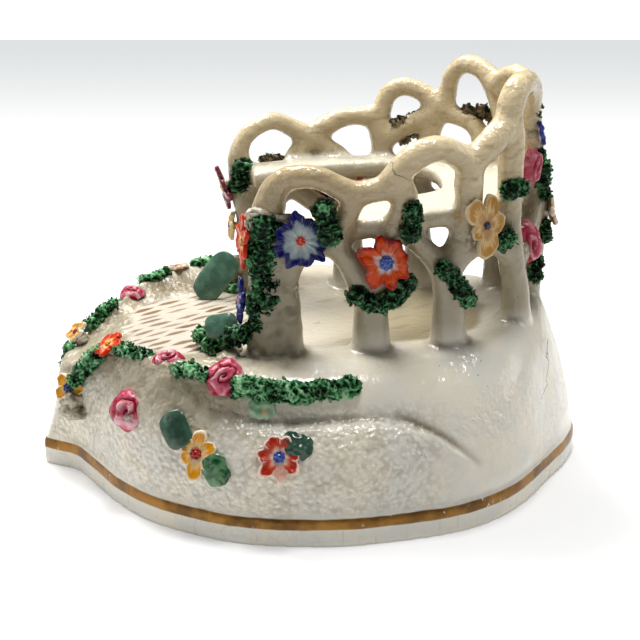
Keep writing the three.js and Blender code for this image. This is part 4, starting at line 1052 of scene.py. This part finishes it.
# Garlands of shredded leaf: name, points, half sizes, and whether their backs are bare
GARLANDS = [
    ("leaf_rim_front", [(9.8, -60.2, 26), (12.3, -57.6, 30.6), (13.6, -54.6, 34.4)], (2.4, 2.6, 2.8), False),
    ("leaf_rim_left", [(19, -48.4, 37.8), (25.6, -42.6, 38.3)], (2.6, 2.6, 2), False),
    ("leaf_rim_middle", [(33.4, -33.4, 38.2), (37.2, -28.4, 37.8)], (2.4, 2.8, 2), False),
    ("leaf_rim_right", [(41, -20.6, 35.6), (42.1, -12.6, 34.8), (42.7, -5.6, 34.6), (42.9, 5, 35)],
     (2.4, 3, 3.3), False),
    ("leaf_post_foot", [(18, -28.4, 40), (22.4, -25.4, 38.6), (24.6, -22.4, 42.4), (27, -18.4, 43.4)],
     (2.8, 2.8, 2.8), False),
    ("leaf_post_near", [(27.6, -14.2, 47), (28.1, -13.6, 56), (27.8, -13.8, 64), (28, -12.8, 72)],
     (2.4, 4.3, 3), False),
    ("leaf_blue_flower", [(31.8, 1.6, 70), (32, 0.6, 75.4)], (2.4, 3.4, 3), True),
    ("leaf_red_flower", [(30.2, 9, 53.8), (30.4, 13.4, 51.8), (30.4, 17.8, 53.4), (30.2, 20.4, 57.2)],
     (2.4, 3, 2.8), True),
    ("leaf_second_arch", [(32.2, 20.8, 70), (32.2, 21, 75.6)], (2.2, 2.8, 3), True),
    ("leaf_slanting", [(29.8, 29.6, 59.8), (28.4, 32.8, 55.6), (27.2, 36.2, 51.4)], (2, 2.8, 2.8), False),
    ("leaf_third_arch", [(24, 44.2, 64.6), (23.6, 45.8, 65.4)], (2.2, 2.6, 2.9), False),
    ("leaf_fourth_arch", [(22, 46, 76.6), (21.6, 48.4, 76.8)], (2.2, 2.8, 2.9), False),
    ("leaf_back_low", [(8, 56.6, 50.6), (8, 56.8, 54)], (2.4, 2.2, 2.8), False),
    ("leaf_back_middle", [(2.6, 60, 59), (3, 59.8, 62)], (2.4, 2, 2.4), False),
    ("leaf_back_high", [(3, 59.2, 70.8), (3, 58.6, 75), (2.6, 58, 80)], (2.4, 2, 2.6), False),
    ("leaf_back_top", [(1.6, 56.8, 90.6), (1.2, 56.8, 93)], (1.6, 1.6, 1.6), False),
    ("leaf_far_tip", [(-2.8, -63.8, 26.4), (-5, -62.6, 29)], (2, 2, 2.4), False),
    ("leaf_far_rim_front", [(-11.6, -57, 34), (-16.4, -51.8, 36.8)], (2.3, 2.4, 2.1), False),
    ("leaf_far_rim_middle", [(-27, -42.4, 40), (-30, -38.6, 40.7)], (2.2, 2.6, 1.8), False),
    ("leaf_far_rim_back", [(-36.2, -29, 41.2), (-39.8, -20, 40), (-41.4, -10, 38.6), (-41.8, -2, 38.4)],
     (2.4, 2.8, 2.3), False),
    ("leaf_far_post", [(-21.6, -17.2, 67.2), (-21.6, -16.6, 72)], (2.4, 3.4, 2.9), False),
    ("leaf_far_post_side", [(-27.8, -12.6, 46), (-27.8, -13, 60)], (2.2, 3.6, 3), True),
    ("leaf_far_foot", [(-23.6, -17.4, 38.6), (-23, -18.4, 38.4)], (3, 3, 2.4), False),
    ("leaf_far_first_arch", [(-27.2, -10, 73.4), (-27.4, -7, 73.2)], (2, 2.6, 1.6), True),
    ("leaf_far_third_arch", [(-28.4, 25.4, 82.4), (-27.8, 31.4, 83.6)], (2, 2.6, 2), True),
    ("leaf_far_third_stem", [(-29.6, 28, 78.2), (-29.4, 31, 79.2)], (2, 2.4, 2), True),
    ("leaf_far_fourth_arch", [(-22, 43.8, 86), (-20.6, 47, 86.4), (-18.8, 49.6, 85)], (2.4, 2.6, 2.4), True),
    ("leaf_far_low", [(-29.8, 7.6, 56.4), (-29.8, 15.4, 57.4)], (2.2, 3, 2.8), True),
    ("leaf_far_low_back", [(-29.2, 27, 59.6), (-28.4, 32.6, 58.6)], (2.2, 3, 2.8), True),
    ("leaf_far_back", [(-8.6, 58, 63.6), (-7, 58.4, 68)], (2.6, 2, 2.6), False),
]

# Paints of the flowers: ring, body and tip, where the tip starts, streaks, bare edge, light and dark of the
# eye, and the eye's radius as a share of the petals' length
PAINTS = {
    "blue": ((180, 186, 182), (146, 160, 164), (8, 12, 88), 0.63, 0.3, None,
             (196, 62, 34), (150, 26, 16), 0.17),
    "red": ((214, 196, 190), (206, 72, 14), (150, 22, 4), 0.84, 0.5, None,
            (70, 98, 172), (12, 24, 104), 0.27),
    "ochre": ((180, 136, 90), (208, 176, 122), (178, 132, 66), 0.6, 0.9, (202, 184, 146), (40, 60, 84),
              (10, 20, 40), 0.15),
    "yellow": ((226, 208, 170), (234, 196, 116), (220, 146, 16), 0.54, 0.8, (240, 230, 208), (186, 36, 20),
               (120, 14, 10), 0.28),
    "scarlet": ((226, 196, 180), (200, 88, 54), (170, 40, 22), 0.52, 0.7, (232, 214, 198), (60, 90, 172),
                (16, 28, 110), 0.27),
    "fire": ((240, 190, 120), (214, 86, 40), (196, 50, 20), 0.6, 0.6, None,
             (226, 170, 60), (190, 110, 30), 0.2),
    "navy": ((206, 210, 216), (140, 152, 196), (18, 28, 112), 0.55, 0.7, None,
             (206, 150, 160), (120, 60, 90), 0.2),
    "pink": ((222, 210, 200), (200, 170, 168), (112, 40, 56), 0.78, 0.5, None,
             (220, 190, 120), (150, 110, 60), 0.2),
    "gold": ((236, 214, 140), (226, 168, 36), (206, 134, 14), 0.6, 0.6, (236, 222, 180), (30, 42, 110),
             (10, 18, 60), 0.3),
    "peach": ((216, 190, 164), (190, 136, 100), (170, 104, 64), 0.7, 0.4, (216, 200, 178), (120, 70, 50),
              (70, 40, 30), 0.2),
    "sky": ((210, 212, 214), (176, 184, 204), (40, 52, 128), 0.7, 0.5, None,
            (190, 180, 120), (120, 110, 60), 0.2),
}

# Flowers: name, place, normal, paint, reach of the clefts as a share of a petal's, how round the tips are
# from 1, which is pointed, upwards, and the angle and length of each petal
FLOWERS = [
    ("flower_blue", (31.9, -5.2, 68.4), (1, 0.02, 0.08), "blue", 0.8, 0.95,
     [(100, 6.9), (56, 6.2), (13, 6.1), (-19, 6.7), (-40, 7.4), (-70, 7.5), (-118, 7.3), (-154, 6.6),
      (147, 6.1)]),
    ("flower_red", (32.5, 15, 62.6), (1, 0.02, 0.12), "red", 0.72, 0.85,
     [(104, 6.9), (59, 6.8), (22, 5.3), (-34, 6.7), (-72, 7.1), (-120, 7.5), (151, 7.7)]),
    ("flower_ochre", (28.6, 39.2, 70), (0.86, 0.5, 0.05), "ochre", 0.5, 3.2,
     [(125, 7.9), (72, 7.9), (12, 5.6), (-92, 8), (-150, 4.6)]),
    ("flower_post", (24.4, -18.1, 66.3), (0.16, -1, 0.05), "fire", 0.55, 1.6,
     [(90, 7.4), (35, 5.6), (-25, 5.4), (-88, 7.6), (-150, 5.2), (150, 5.6)]),
    ("flower_post_low", (24.4, -18.8, 51.4), (0.1, -1, 0.1), "navy", 0.5, 1.6,
     [(95, 5.3), (40, 4.2), (-20, 4), (-80, 5.4), (-145, 4), (155, 4.2)]),
    ("flower_far_post", (-24, -21, 66.8), (0.15, -0.97, -0.25), "pink", 0.5, 1.6,
     [(88, 6.3), (30, 5), (-30, 4.8), (-92, 6.2), (-150, 4.8), (150, 5)]),
    ("flower_far_post_low", (-24, -19.1, 56), (0.1, -1, 0), "gold", 0.5, 1.6,
     [(90, 4), (20, 3.9), (-55, 3.8), (-125, 3.8), (160, 3.9)]),
    ("flower_back_sky", (3, 57.4, 85.8), (0.1, 1, 0.1), "sky", 0.5, 1.6,
     [(90, 3.3), (18, 3.2), (-54, 3.1), (-126, 3.2), (162, 3.3)]),
    ("flower_back_peach", (2, 61.2, 65.4), (0.05, 1, 0.1), "peach", 0.5, 1.6,
     [(96, 3.9), (20, 3.8), (-54, 3.9), (-126, 3.7), (166, 3.9)]),
    ("flower_tip", (9.2, -62.3, 24.2), (0.84, -0.5, 0.3), "gold", 0.5, 2,
     [(70, 4.8), (0, 4.4), (-70, 4.8), (-140, 4.6), (140, 4.4)]),
    ("flower_rim_front", (15, -51.4, 37.6), (0.18, -0.55, 0.82), "fire", 0.5, 2.2,
     [(30, 4.6), (-45, 4.2), (-120, 4.4), (170, 4.8), (95, 4)]),
    ("flower_mound_yellow", (44.9, -30.9, 20.8), (0.88, -0.33, 0.35), "yellow", 0.6, 2.3,
     [(76, 5.5), (34, 5.4), (-34, 6), (-89, 6.4), (204, 4.2), (146, 5.2)]),
    ("flower_mound_scarlet", (51, -11.8, 21.9), (0.88, -0.1, 0.46), "scarlet", 0.78, 1.1,
     [(112, 5.2), (64, 5.3), (12, 5), (-38, 5.8), (-84, 6.4), (-134, 6.4), (174, 5.4)]),
    ("flower_far_rim_front", (-7.6, -60.8, 32.9), (0.25, -0.7, 0.6), "yellow", 0.55, 2.2,
     [(80, 3.3), (10, 2.8), (-60, 2.9), (-130, 3.1), (150, 3.1)]),
    ("flower_far_rim_back", (-33.2, -34.4, 41.3), (-0.2, -0.1, 0.95), "peach", 0.5, 1.6,
     [(80, 3.3), (10, 3.2), (-60, 3.1), (-130, 3.2), (150, 3.2)]),
    ("flower_far_mound", (-48.7, -12, 21.2), (-0.86, -0.1, 0.5), "scarlet", 0.55, 1.3,
     [(90, 5.2), (30, 5), (-30, 5.1), (-90, 5.4), (-150, 5), (150, 5.1)]),
    ("flower_far_blue", (-31.9, -3.6, 66.6), (-1, 0, 0.05), "blue", 0.65, 1.15,
     [(90, 6.6), (39, 6.4), (-13, 6.7), (-64, 6.5), (-116, 6.6), (-167, 6.3), (141, 6.5)]),
    ("flower_far_red", (-32.3, 17.6, 64), (-1, 0, 0.05), "red", 0.65, 1.2,
     [(90, 6.8), (30, 6.5), (-30, 6.9), (-90, 6.6), (-150, 6.7), (150, 6.6)]),
    ("flower_far_ochre", (-28.3, 35.3, 70.6), (-0.86, 0.5, 0), "ochre", 0.4, 2.6,
     [(90, 6.2), (18, 6), (-54, 6.3), (-126, 5.9), (162, 6.1)]),
]

# Roses: name, place, normal, radius along and across, and turn in degrees
ROSES = [
    ("rose_rim_left", (29, -37, 38.6), (0.5, -0.1, 0.85), 4, 3.2, 10),
    ("rose_rim_right", (39.4, -23.7, 37.7), (0.85, -0.15, 0.5), 4.9, 4.2, 40),
    ("rose_mound", (30, -46.6, 26), (0.93, -0.32, 0.3), 5.4, 5.4, 70),
    ("rose_back_low", (10.8, 53.6, 59.8), (0.86, 0.5, 0.1), 5.8, 4.8, 100),
    ("rose_back_high", (6.6, 54.9, 78.3), (0.55, 0.83, 0), 4.7, 3.9, 80),
    ("rose_far_rim", (-21.8, -46.8, 38.5), (0.05, -0.25, 0.95), 4.2, 3.2, 30),
    ("rose_far_side", (-29.4, 5.6, 62), (-1, 0, 0), 4.4, 3.8, 0),
    ("rose_far_back", (-18.4, 50.6, 72), (-0.6, 0.8, 0), 4.4, 3.8, 60),
    ("rose_far_mound", (-28.8, -47.2, 24), (-0.55, -0.8, 0.25), 4.3, 3.7, 0),
]

# Single leaves: name, place, normal, the way of its tip, length and width, how ruffled it is from 0 to 1, and
# its paint
LEAVES = [
    ("leaf_smooth_mound", (41.3, -35.5, 25.6), (0.8, -0.46, 0.38), (0.3, 0.5, -0.8), 9.6, 7.6, 0, "dark"),
    ("leaf_ruffled_scarlet", (50, -7.6, 24.2), (0.85, 0, 0.5), (0.1, 0.75, -0.3), 7.8, 6, 0.4, "dark"),
    ("leaf_ruffled_yellow", (47.6, -26.6, 17.8), (0.9, -0.3, 0.3), (0.1, 0.5, -0.85), 8.2, 6.8, 0.4,
     "emerald"),
    ("leaf_tongue", (42.2, -15.2, 31.2), (0.93, -0.15, 0.42), (0.35, 0.1, -0.9), 6.4, 7, 0.35, "thin"),
    ("leaf_smooth_far_post", (-18.5, -24, 43.6), (0.9, -0.3, 0.3), (0, 0.6, 0.8), 15.2, 8.6, 0, "sage"),
    ("leaf_smooth_near_post", (23.6, -23.9, 44.9), (0.85, -0.2, 0.5), (0, 1, 0.1), 8.4, 6.4, 0, "sage"),
]


PETAL_STEPS, PETAL_RINGS = 14, 9  # fineness of a flower's disc: round each petal, and from middle to rim
BUTTONS = 7  # buttons round the middle one in a flower's eye


def flower(name, place, normal, cleft, round_tips, petals, chance, eye_share, materials):
    """A flower cut from one disc of clay: lobes of given angles and lengths, with buttons for an eye."""
    petals = sorted((math.radians(angle) % math.tau, reach) for angle, reach in petals)
    bends = [chance.uniform(-0.5, 1.1) for _ in petals]
    mean = sum(reach for _, reach in petals) / len(petals)

    def lobe(turn):
        """The nearest petal's number, and how far beside its middle a turn is, 0 to 1."""
        gaps = [(turn - angle + math.pi) % math.tau - math.pi for angle, _ in petals]
        number = min(range(len(petals)), key=lambda i: abs(gaps[i]))
        beside = number + (1 if gaps[number] > 0 else -1)
        other = petals[beside % len(petals)][0]
        room = abs((other - petals[number][0] + math.pi) % math.tau - math.pi) / 2
        return number, min(abs(gaps[number]) / max(room, 1e-3), 1)

    def place_at(u, v):
        turn = u * math.tau
        number, side = lobe(turn)
        reach = petals[number][1]
        neighbour = mean * cleft
        rim = neighbour + (reach - neighbour) * (1 - side**round_tips)
        rim *= 1 + 0.12 * noise.noise(Vector((3 * math.cos(turn), 3 * math.sin(turn), mean * 3)))
        rim *= 1 + 0.07 * noise.noise(Vector((8 * math.cos(turn), 8 * math.sin(turn), mean * 5)))
        r = rim * v**0.9
        crease = 0.35 * side**2 - 0.25 * (1 - side) ** 4
        ripple = 0.5 * noise.noise(Vector((r * math.cos(turn), r * math.sin(turn), mean)) * 0.7) * v
        z = 0.5 + (crease * 0.9 + 0.3) * v + (bends[number] - 0.2) * v**3 * (1 - side) + ripple
        return Vector((r * math.cos(turn), r * math.sin(turn), z)) * MM

    around = len(petals) * PETAL_STEPS
    disc = shaped_grid(name, around, PETAL_RINGS, place_at)
    spots = [divmod(vertex.index, around + 1) for vertex in disc.data.vertices]
    lobes = [lobe(i / around * math.tau) for _, i in spots]
    store(disc, "side", [side for _, side in lobes])
    store(disc, "reach", [j / PETAL_RINGS for j, _ in spots])
    store(disc, "tone", [number * 0.37 % 1 for number, _ in lobes])
    in_edit(disc, merge_doubles, face_outwards)
    if disc.data.polygons[0].normal.z < 0:
        in_edit(disc, bpy.ops.mesh.flip_normals)
    modify(disc, "SOLIDIFY", thickness=bpy.context.scene.bower_sizes.petal_thickness, offset=-1)
    modify(disc, "SUBSURF", levels=1, render_levels=1)
    disc.data.materials.append(materials[0])

    eyes = []
    spread = mean * eye_share * 0.62
    start = chance.random()
    for i in range(BUTTONS + 1):
        middle = i == BUTTONS
        turn = math.tau * i / BUTTONS + start
        radius = mean * eye_share * (0.6 if middle else chance.uniform(0.34, 0.42))
        bpy.ops.mesh.primitive_uv_sphere_add(segments=12, ring_count=7, radius=radius * MM)
        eye = bpy.context.active_object
        reach = 0 if middle else spread
        eye.scale = (1, 1, 0.7)
        eye.location = Vector((reach * math.cos(turn), reach * math.sin(turn), 0.8)) * MM
        pick(eye)
        bpy.ops.object.transform_apply(location=True, rotation=True, scale=True)
        eye.data.materials.append(materials[1])
        eyes.append(eye)
    bpy.ops.mesh.primitive_ico_sphere_add(subdivisions=3, radius=MM)
    root = bpy.context.active_object
    for vertex in root.data.vertices:
        ball = vertex.co * (1 + 0.25 * noise.noise(vertex.co / MM * 1.5 + Vector(place)))
        vertex.co = Vector((ball.x * mean * 0.36, ball.y * mean * 0.36, ball.z * 1.8 - 1.8 * MM))
    root.data.materials.append(materials[2])
    piece = joined(name, [disc, *eyes, root])
    piece.data.transform(seating(place, normal))
    return piece


CRIMSON_FROM = 50  # roses with y above this are painted darker


def rose(name, place, normal, wide, deep, turn):
    """A rolled rose pressed against its ground: a low dome on which one fold winds inwards to a slit."""
    winds, around, rings = 1.7, 96, 34
    seed = Vector((place[0], place[2], 0))
    folds = {}

    def place_at(u, v):
        flat = Vector((math.cos(u * math.tau), math.sin(u * math.tau), 0))
        wobble = 1 + 0.16 * noise.noise(flat * 1.1 + seed) + 0.07 * noise.noise(flat * 3 + seed)
        stir = 0.5 * noise.noise(flat * v * 1.6 + seed)
        phase = (winds * v**0.85 - u + stir) % 1
        fold = phase**0.8 * (1 - smoothstep(0.8, 1, phase)) * 1.25
        fold *= 0.9 + 0.9 * noise.noise(flat * v * 1.7 + seed * 2)
        folds[round(u * around) % around, round(v * rings)] = fold
        dome = 0.86 * (1 - v**3.2) ** 0.6 - 0.34
        slit = 0.62 + 0.38 * v
        lift = dome + 0.27 * fold * (1 - v**5) - 0.12 * (1 - smoothstep(0, 0.25, v))
        return Vector((flat.x * v * wobble, flat.y * v * wobble * slit, lift))

    piece = shaped_grid(name, around, rings, place_at)
    spots = [divmod(vertex.index, around + 1) for vertex in piece.data.vertices]
    store(piece, "reach", [folds[i % around, j] for j, i in spots])
    store(piece, "tone", [1 if place[1] > CRIMSON_FROM else 0] * len(spots))
    in_edit(piece, merge_doubles, face_outwards)
    squash = Matrix.Diagonal((wide * MM, deep * MM, 0.78 * deep * MM, 1))
    turned = Matrix.Rotation(math.radians(turn), 4, "Z")
    piece.data.transform(seating(place, normal) @ (turned @ squash))
    return piece


def single_leaf(name, place, normal, along, long, wide, ruffle):
    """A thick leaf with a blunt end, domed; a ruffled one is crumpled and torn along its edge."""
    steps, thickness = 15, 1.8

    def place_at(u, v):
        s, t = 2 * u - 1, 2 * v - 1
        rim = max(abs(s), abs(t))
        turn = math.atan2(t, s)
        torn = noise.noise(Vector((3 * math.cos(turn), 3 * math.sin(turn), wide)))
        torn = 1 + ruffle * (0.3 * torn + 0.07 * math.sin(turn * 13)) * rim
        y = s * wide / 2 * (1 - abs(t) ** 4.5) ** 0.45 * torn
        x = t * long / 2 * torn
        crumple = noise.noise(Vector((x * 0.55, y * 0.8, wide)))
        dome = 1.3 - 0.8 * s * s - 0.8 * t * t
        return Vector((x, y, dome + (0.1 + 1.3 * ruffle) * crumple)) * MM

    piece = shaped_grid(name, steps, 2 * steps, place_at)
    spots = [divmod(vertex.index, steps + 1) for vertex in piece.data.vertices]
    store(piece, "side", [max(abs(2 * i / steps - 1), abs(j / steps - 1)) for j, i in spots])
    in_edit(piece, merge_doubles, face_outwards)
    if sum(face.normal.z for face in piece.data.polygons) < 0:
        in_edit(piece, bpy.ops.mesh.flip_normals)
    modify(piece, "SOLIDIFY", thickness=thickness * MM, offset=-1)
    modify(piece, "SUBSURF", levels=1, render_levels=1)
    piece.data.transform(seating(place, normal, along))
    return piece


# Lumps of slip: place and half sizes
SLIP = [
    ((27.7, -8.4, 54.4), (0.7, 2.6, 3.4)), ((27.6, -8.6, 48.4), (0.7, 2.8, 3.6)),
    ((28.2, -14.8, 74.4), (1.4, 3.2, 1.3)), ((28.6, -9.4, 73.2), (1.1, 2.8, 1)),
    ((27.6, -16.2, 71.8), (1.4, 1.8, 1.4)), ((10.6, -61.4, 20.8), (1.8, 3.2, 2.8)),
    ((12.4, -60.4, 18.2), (1.6, 2.8, 1.6)), ((8.6, -63, 18), (1.6, 2.2, 1.8)),
    ((45.6, -27.4, 16.8), (1.2, 2.4, 1.8)), ((-7.2, -59.8, 31), (2.6, 2, 1.8)),
    ((22, -22, 38.2), (3, 3, 1.8)), ((27.6, -22.4, 38), (3.4, 3, 1.6)),
    ((31.2, -26, 38), (3, 2.6, 1.2)), ((-26, -26.4, 39.4), (3.4, 3, 1.8)),
    ((-25, -20.4, 40), (2.4, 2.8, 2.4)), ((-23.4, -18, 45), (1.6, 2.4, 3)),
    ((32, -46.8, 25.4), (1.6, 1.5, 1.1)),
]


def slip_lumps():
    """All lumps of slip as one rough piece."""
    lumps = []
    for place, half in SLIP:
        bpy.ops.mesh.primitive_ico_sphere_add(subdivisions=4, radius=1)
        lump = bpy.context.active_object
        for vertex in lump.data.vertices:
            rough = 1 + 0.35 * noise.noise(vertex.co * 1.6 + Vector(place))
            rough += 0.2 * noise.noise(vertex.co * 4) + 0.1 * noise.noise(vertex.co * 9)
            vertex.co = (Vector(place) + Vector(c * h for c, h in zip(vertex.co * rough, half))) * MM
        lumps.append(lump)
    return joined("slip_lumps", lumps)


class BOWER_OT_body(bpy.types.Operator):
    """Fuse the mound, the seat and the lattice of rolled rods, and glaze them"""

    bl_idname = "bower.body"
    bl_label = "Fired body"

    def execute(self, context):
        fired_body()
        return {"FINISHED"}


class BOWER_OT_garlands(bpy.types.Operator):
    """String shredded leaf along the rim, the posts and the lattice"""

    bl_idname = "bower.garlands"
    bl_label = "Garlands of shredded leaf"

    def execute(self, context):
        prototype = curl()
        material = leaf_material()
        chance = random.Random(context.scene.bower_sizes.seed)
        for name, path, half, bare in GARLANDS:
            finish(leaf_garland(name, path, half, prototype, bare, chance), "leaf_green", material)
        bpy.data.objects.remove(prototype)
        return {"FINISHED"}


class BOWER_OT_flowers(bpy.types.Operator):
    """Set the painted flowers"""

    bl_idname = "bower.flowers"
    bl_label = "Flowers"

    def execute(self, context):
        chance = random.Random(context.scene.bower_sizes.seed)
        slip = slip_material()
        mixed = {}
        for name, (*petal_tones, light, dark, share) in PAINTS.items():
            petal = petal_material("Petals " + name, *petal_tones)
            eye = enamel_material("Eye " + name, light, dark, 1.4)
            mixed[name] = share, (petal, eye, slip)
        for name, place, normal, paint, *form in FLOWERS:
            finish(flower(name, place, normal, *form, chance, *mixed[paint]), "flower_enamel")
        return {"FINISHED"}


class BOWER_OT_roses(bpy.types.Operator):
    """Set the rolled roses"""

    bl_idname = "bower.roses"
    bl_label = "Roses"

    def execute(self, context):
        material = rose_material()
        for row in ROSES:
            finish(rose(*row), "rose_enamel", material)
        return {"FINISHED"}


class BOWER_OT_leaves(bpy.types.Operator):
    """Set the single leaves and the lumps of slip"""

    bl_idname = "bower.leaves"
    bl_label = "Single leaves and slip"

    def execute(self, context):
        tint = context.scene.bower_colours
        paints = {
            "dark": smooth_leaf_material("Smooth leaf", tint.smooth_leaf, srgb(60, 98, 78)),
            "sage": smooth_leaf_material("Paler smooth leaf", srgb(70, 104, 86), srgb(96, 134, 114)),
            "emerald": enamel_material("Emerald leaf", (92, 134, 94), (10, 70, 32), 0.35),
            "thin": thin_green_material(),
        }
        for *shape, paint in LEAVES:
            finish(single_leaf(*shape), "leaf_green", paints[paint])
        finish(slip_lumps(), "glaze", slip_material())
        return {"FINISHED"}


# The stage

EYE = (0.38901, -0.03277, 0.17756)  # the camera's place
AZIMUTH, ELEVATION = math.radians(84.853), math.radians(19.788)
LENS, SENSOR = 90, 36  # millimetres
# The paper's greying is its painted glow fading, as light falls off with distance
PAPER_GREYS, PAPER_END = 380, 632  # how far behind the object the paper begins to grey, and ends


def camera():
    """The camera at its place, with its back along its own Z axis."""
    level = math.cos(ELEVATION)
    back = Vector((math.sin(AZIMUTH) * level, -math.cos(AZIMUTH) * level, math.sin(ELEVATION)))
    right = Vector((math.cos(AZIMUTH), math.sin(AZIMUTH), 0))
    turned = Matrix((right, back.cross(right), back)).transposed().to_4x4()
    bpy.ops.object.camera_add()
    made = bpy.context.active_object
    made.name = "photo_camera"
    made.matrix_world = Matrix.Translation(EYE) @ turned
    made.data.lens = LENS
    made.data.sensor_width = SENSOR
    made.data.clip_start = 0.01
    bpy.context.scene.camera = made


def lamp(name, place, aim, wide, watts, tint=(1, 1, 1)):
    """A soft square lamp at a place, turned to what it lights."""
    bpy.ops.object.light_add(type="AREA")
    made = bpy.context.active_object
    made.name = name
    made.data.shape = "RECTANGLE"
    made.data.size, made.data.size_y = wide
    made.data.energy = watts
    made.data.color = tint
    facing = (Vector(place) - Vector(aim)).to_track_quat("Z", "Y")
    made.matrix_world = Matrix.Translation(place) @ facing.to_matrix().to_4x4()


def floor_material():
    """White paper: lit under the object, where it also glows faintly, and further off a glow that greys
    towards its far end.
    """
    paint = Paint("Studio floor")
    x, y, _ = paint.axes()
    beyond = y * math.cos(AZIMUTH) - x * math.sin(AZIMUTH)
    close = beyond.step(340, 200)
    clear = 1 - ((beyond - PAPER_GREYS) / (PAPER_END - PAPER_GREYS)).most(0).least(1)
    glow = paint.mix(clear * clear, srgb(220, 223, 224), (1, 1, 1))
    glow = paint.mix(beyond > PAPER_END, glow, (1.1, 1.1, 1.1))
    glow = paint.mix(close, glow, (0.32, 0.32, 0.32))
    paint.coat = paint.mix(close, (0.02, 0.02, 0.02), srgb(214, 214, 214))
    return paint.shine(0.8, Specular_IOR_Level=0.1, Emission_Color=glow, Emission_Strength=1.0)


class BOWER_OT_stage(bpy.types.Operator):
    """Lay the pale floor and set the lamps and the camera"""

    bl_idname = "bower.stage"
    bl_label = "Stage"

    def execute(self, context):
        bpy.ops.object.select_all(action="DESELECT")
        bpy.ops.mesh.primitive_circle_add(vertices=96, radius=4, fill_type="NGON")
        ground = context.active_object
        ground.name = "studio_floor"
        ground.data.materials.append(floor_material())
        lamp("key_lamp", (-0.34, -0.2, 0.62), (0, 0, 0.05), (0.4, 0.4), 6.6, (1, 0.97, 0.92))
        lamp("top_lamp", (0, 0.06, 0.75), (0, 0, 0.05), (0.22, 0.18), 3.8)
        lamp("left_lamp", (0, -0.8, 0.35), (0, 0, 0.03), (0.4, 0.4), 0.9)
        lamp("right_lamp", (0, 0.8, 0.4), (0, 0, 0.03), (0.4, 0.4), 1.2)
        sky = bpy.data.worlds.new("Studio")
        context.scene.world = sky
        sky.use_nodes = True
        sky.node_tree.nodes["Background"].inputs["Color"].default_value = (*srgb(222, 224, 223), 1)
        sky.node_tree.nodes["Background"].inputs["Strength"].default_value = 0.1
        context.scene.view_settings.view_transform = "Standard"
        camera()
        return {"FINISHED"}


STEPS = (
    BOWER_OT_body, BOWER_OT_garlands, BOWER_OT_flowers, BOWER_OT_roses, BOWER_OT_leaves, BOWER_OT_stage,
)


class BOWER_PT_panel(bpy.types.Panel):
    """The bower's sizes, colours and steps"""

    bl_label = "Porcelain bower"
    bl_idname = "BOWER_PT_panel"
    bl_space_type = "VIEW_3D"
    bl_region_type = "UI"
    bl_category = "Bower"

    def draw(self, context):
        for group in (context.scene.bower_sizes, context.scene.bower_colours):
            for name in group.__annotations__:
                self.layout.prop(group, name)
        for step in STEPS:
            self.layout.operator(step.bl_idname)


CLASSES = (BowerSizes, BowerColours, *STEPS, BOWER_PT_panel)


def register():
    for made in CLASSES:
        bpy.utils.register_class(made)
    bpy.types.Scene.bower_sizes = PointerProperty(type=BowerSizes)
    bpy.types.Scene.bower_colours = PointerProperty(type=BowerColours)


def unregister():
    del bpy.types.Scene.bower_colours
    del bpy.types.Scene.bower_sizes
    for made in reversed(CLASSES):
        bpy.utils.unregister_class(made)


def main():
    register()
    bpy.ops.bower.body()
    bpy.ops.bower.garlands()
    bpy.ops.bower.flowers()
    bpy.ops.bower.roses()
    bpy.ops.bower.leaves()
    bpy.ops.bower.stage()


if __name__ == "__main__":
    main()
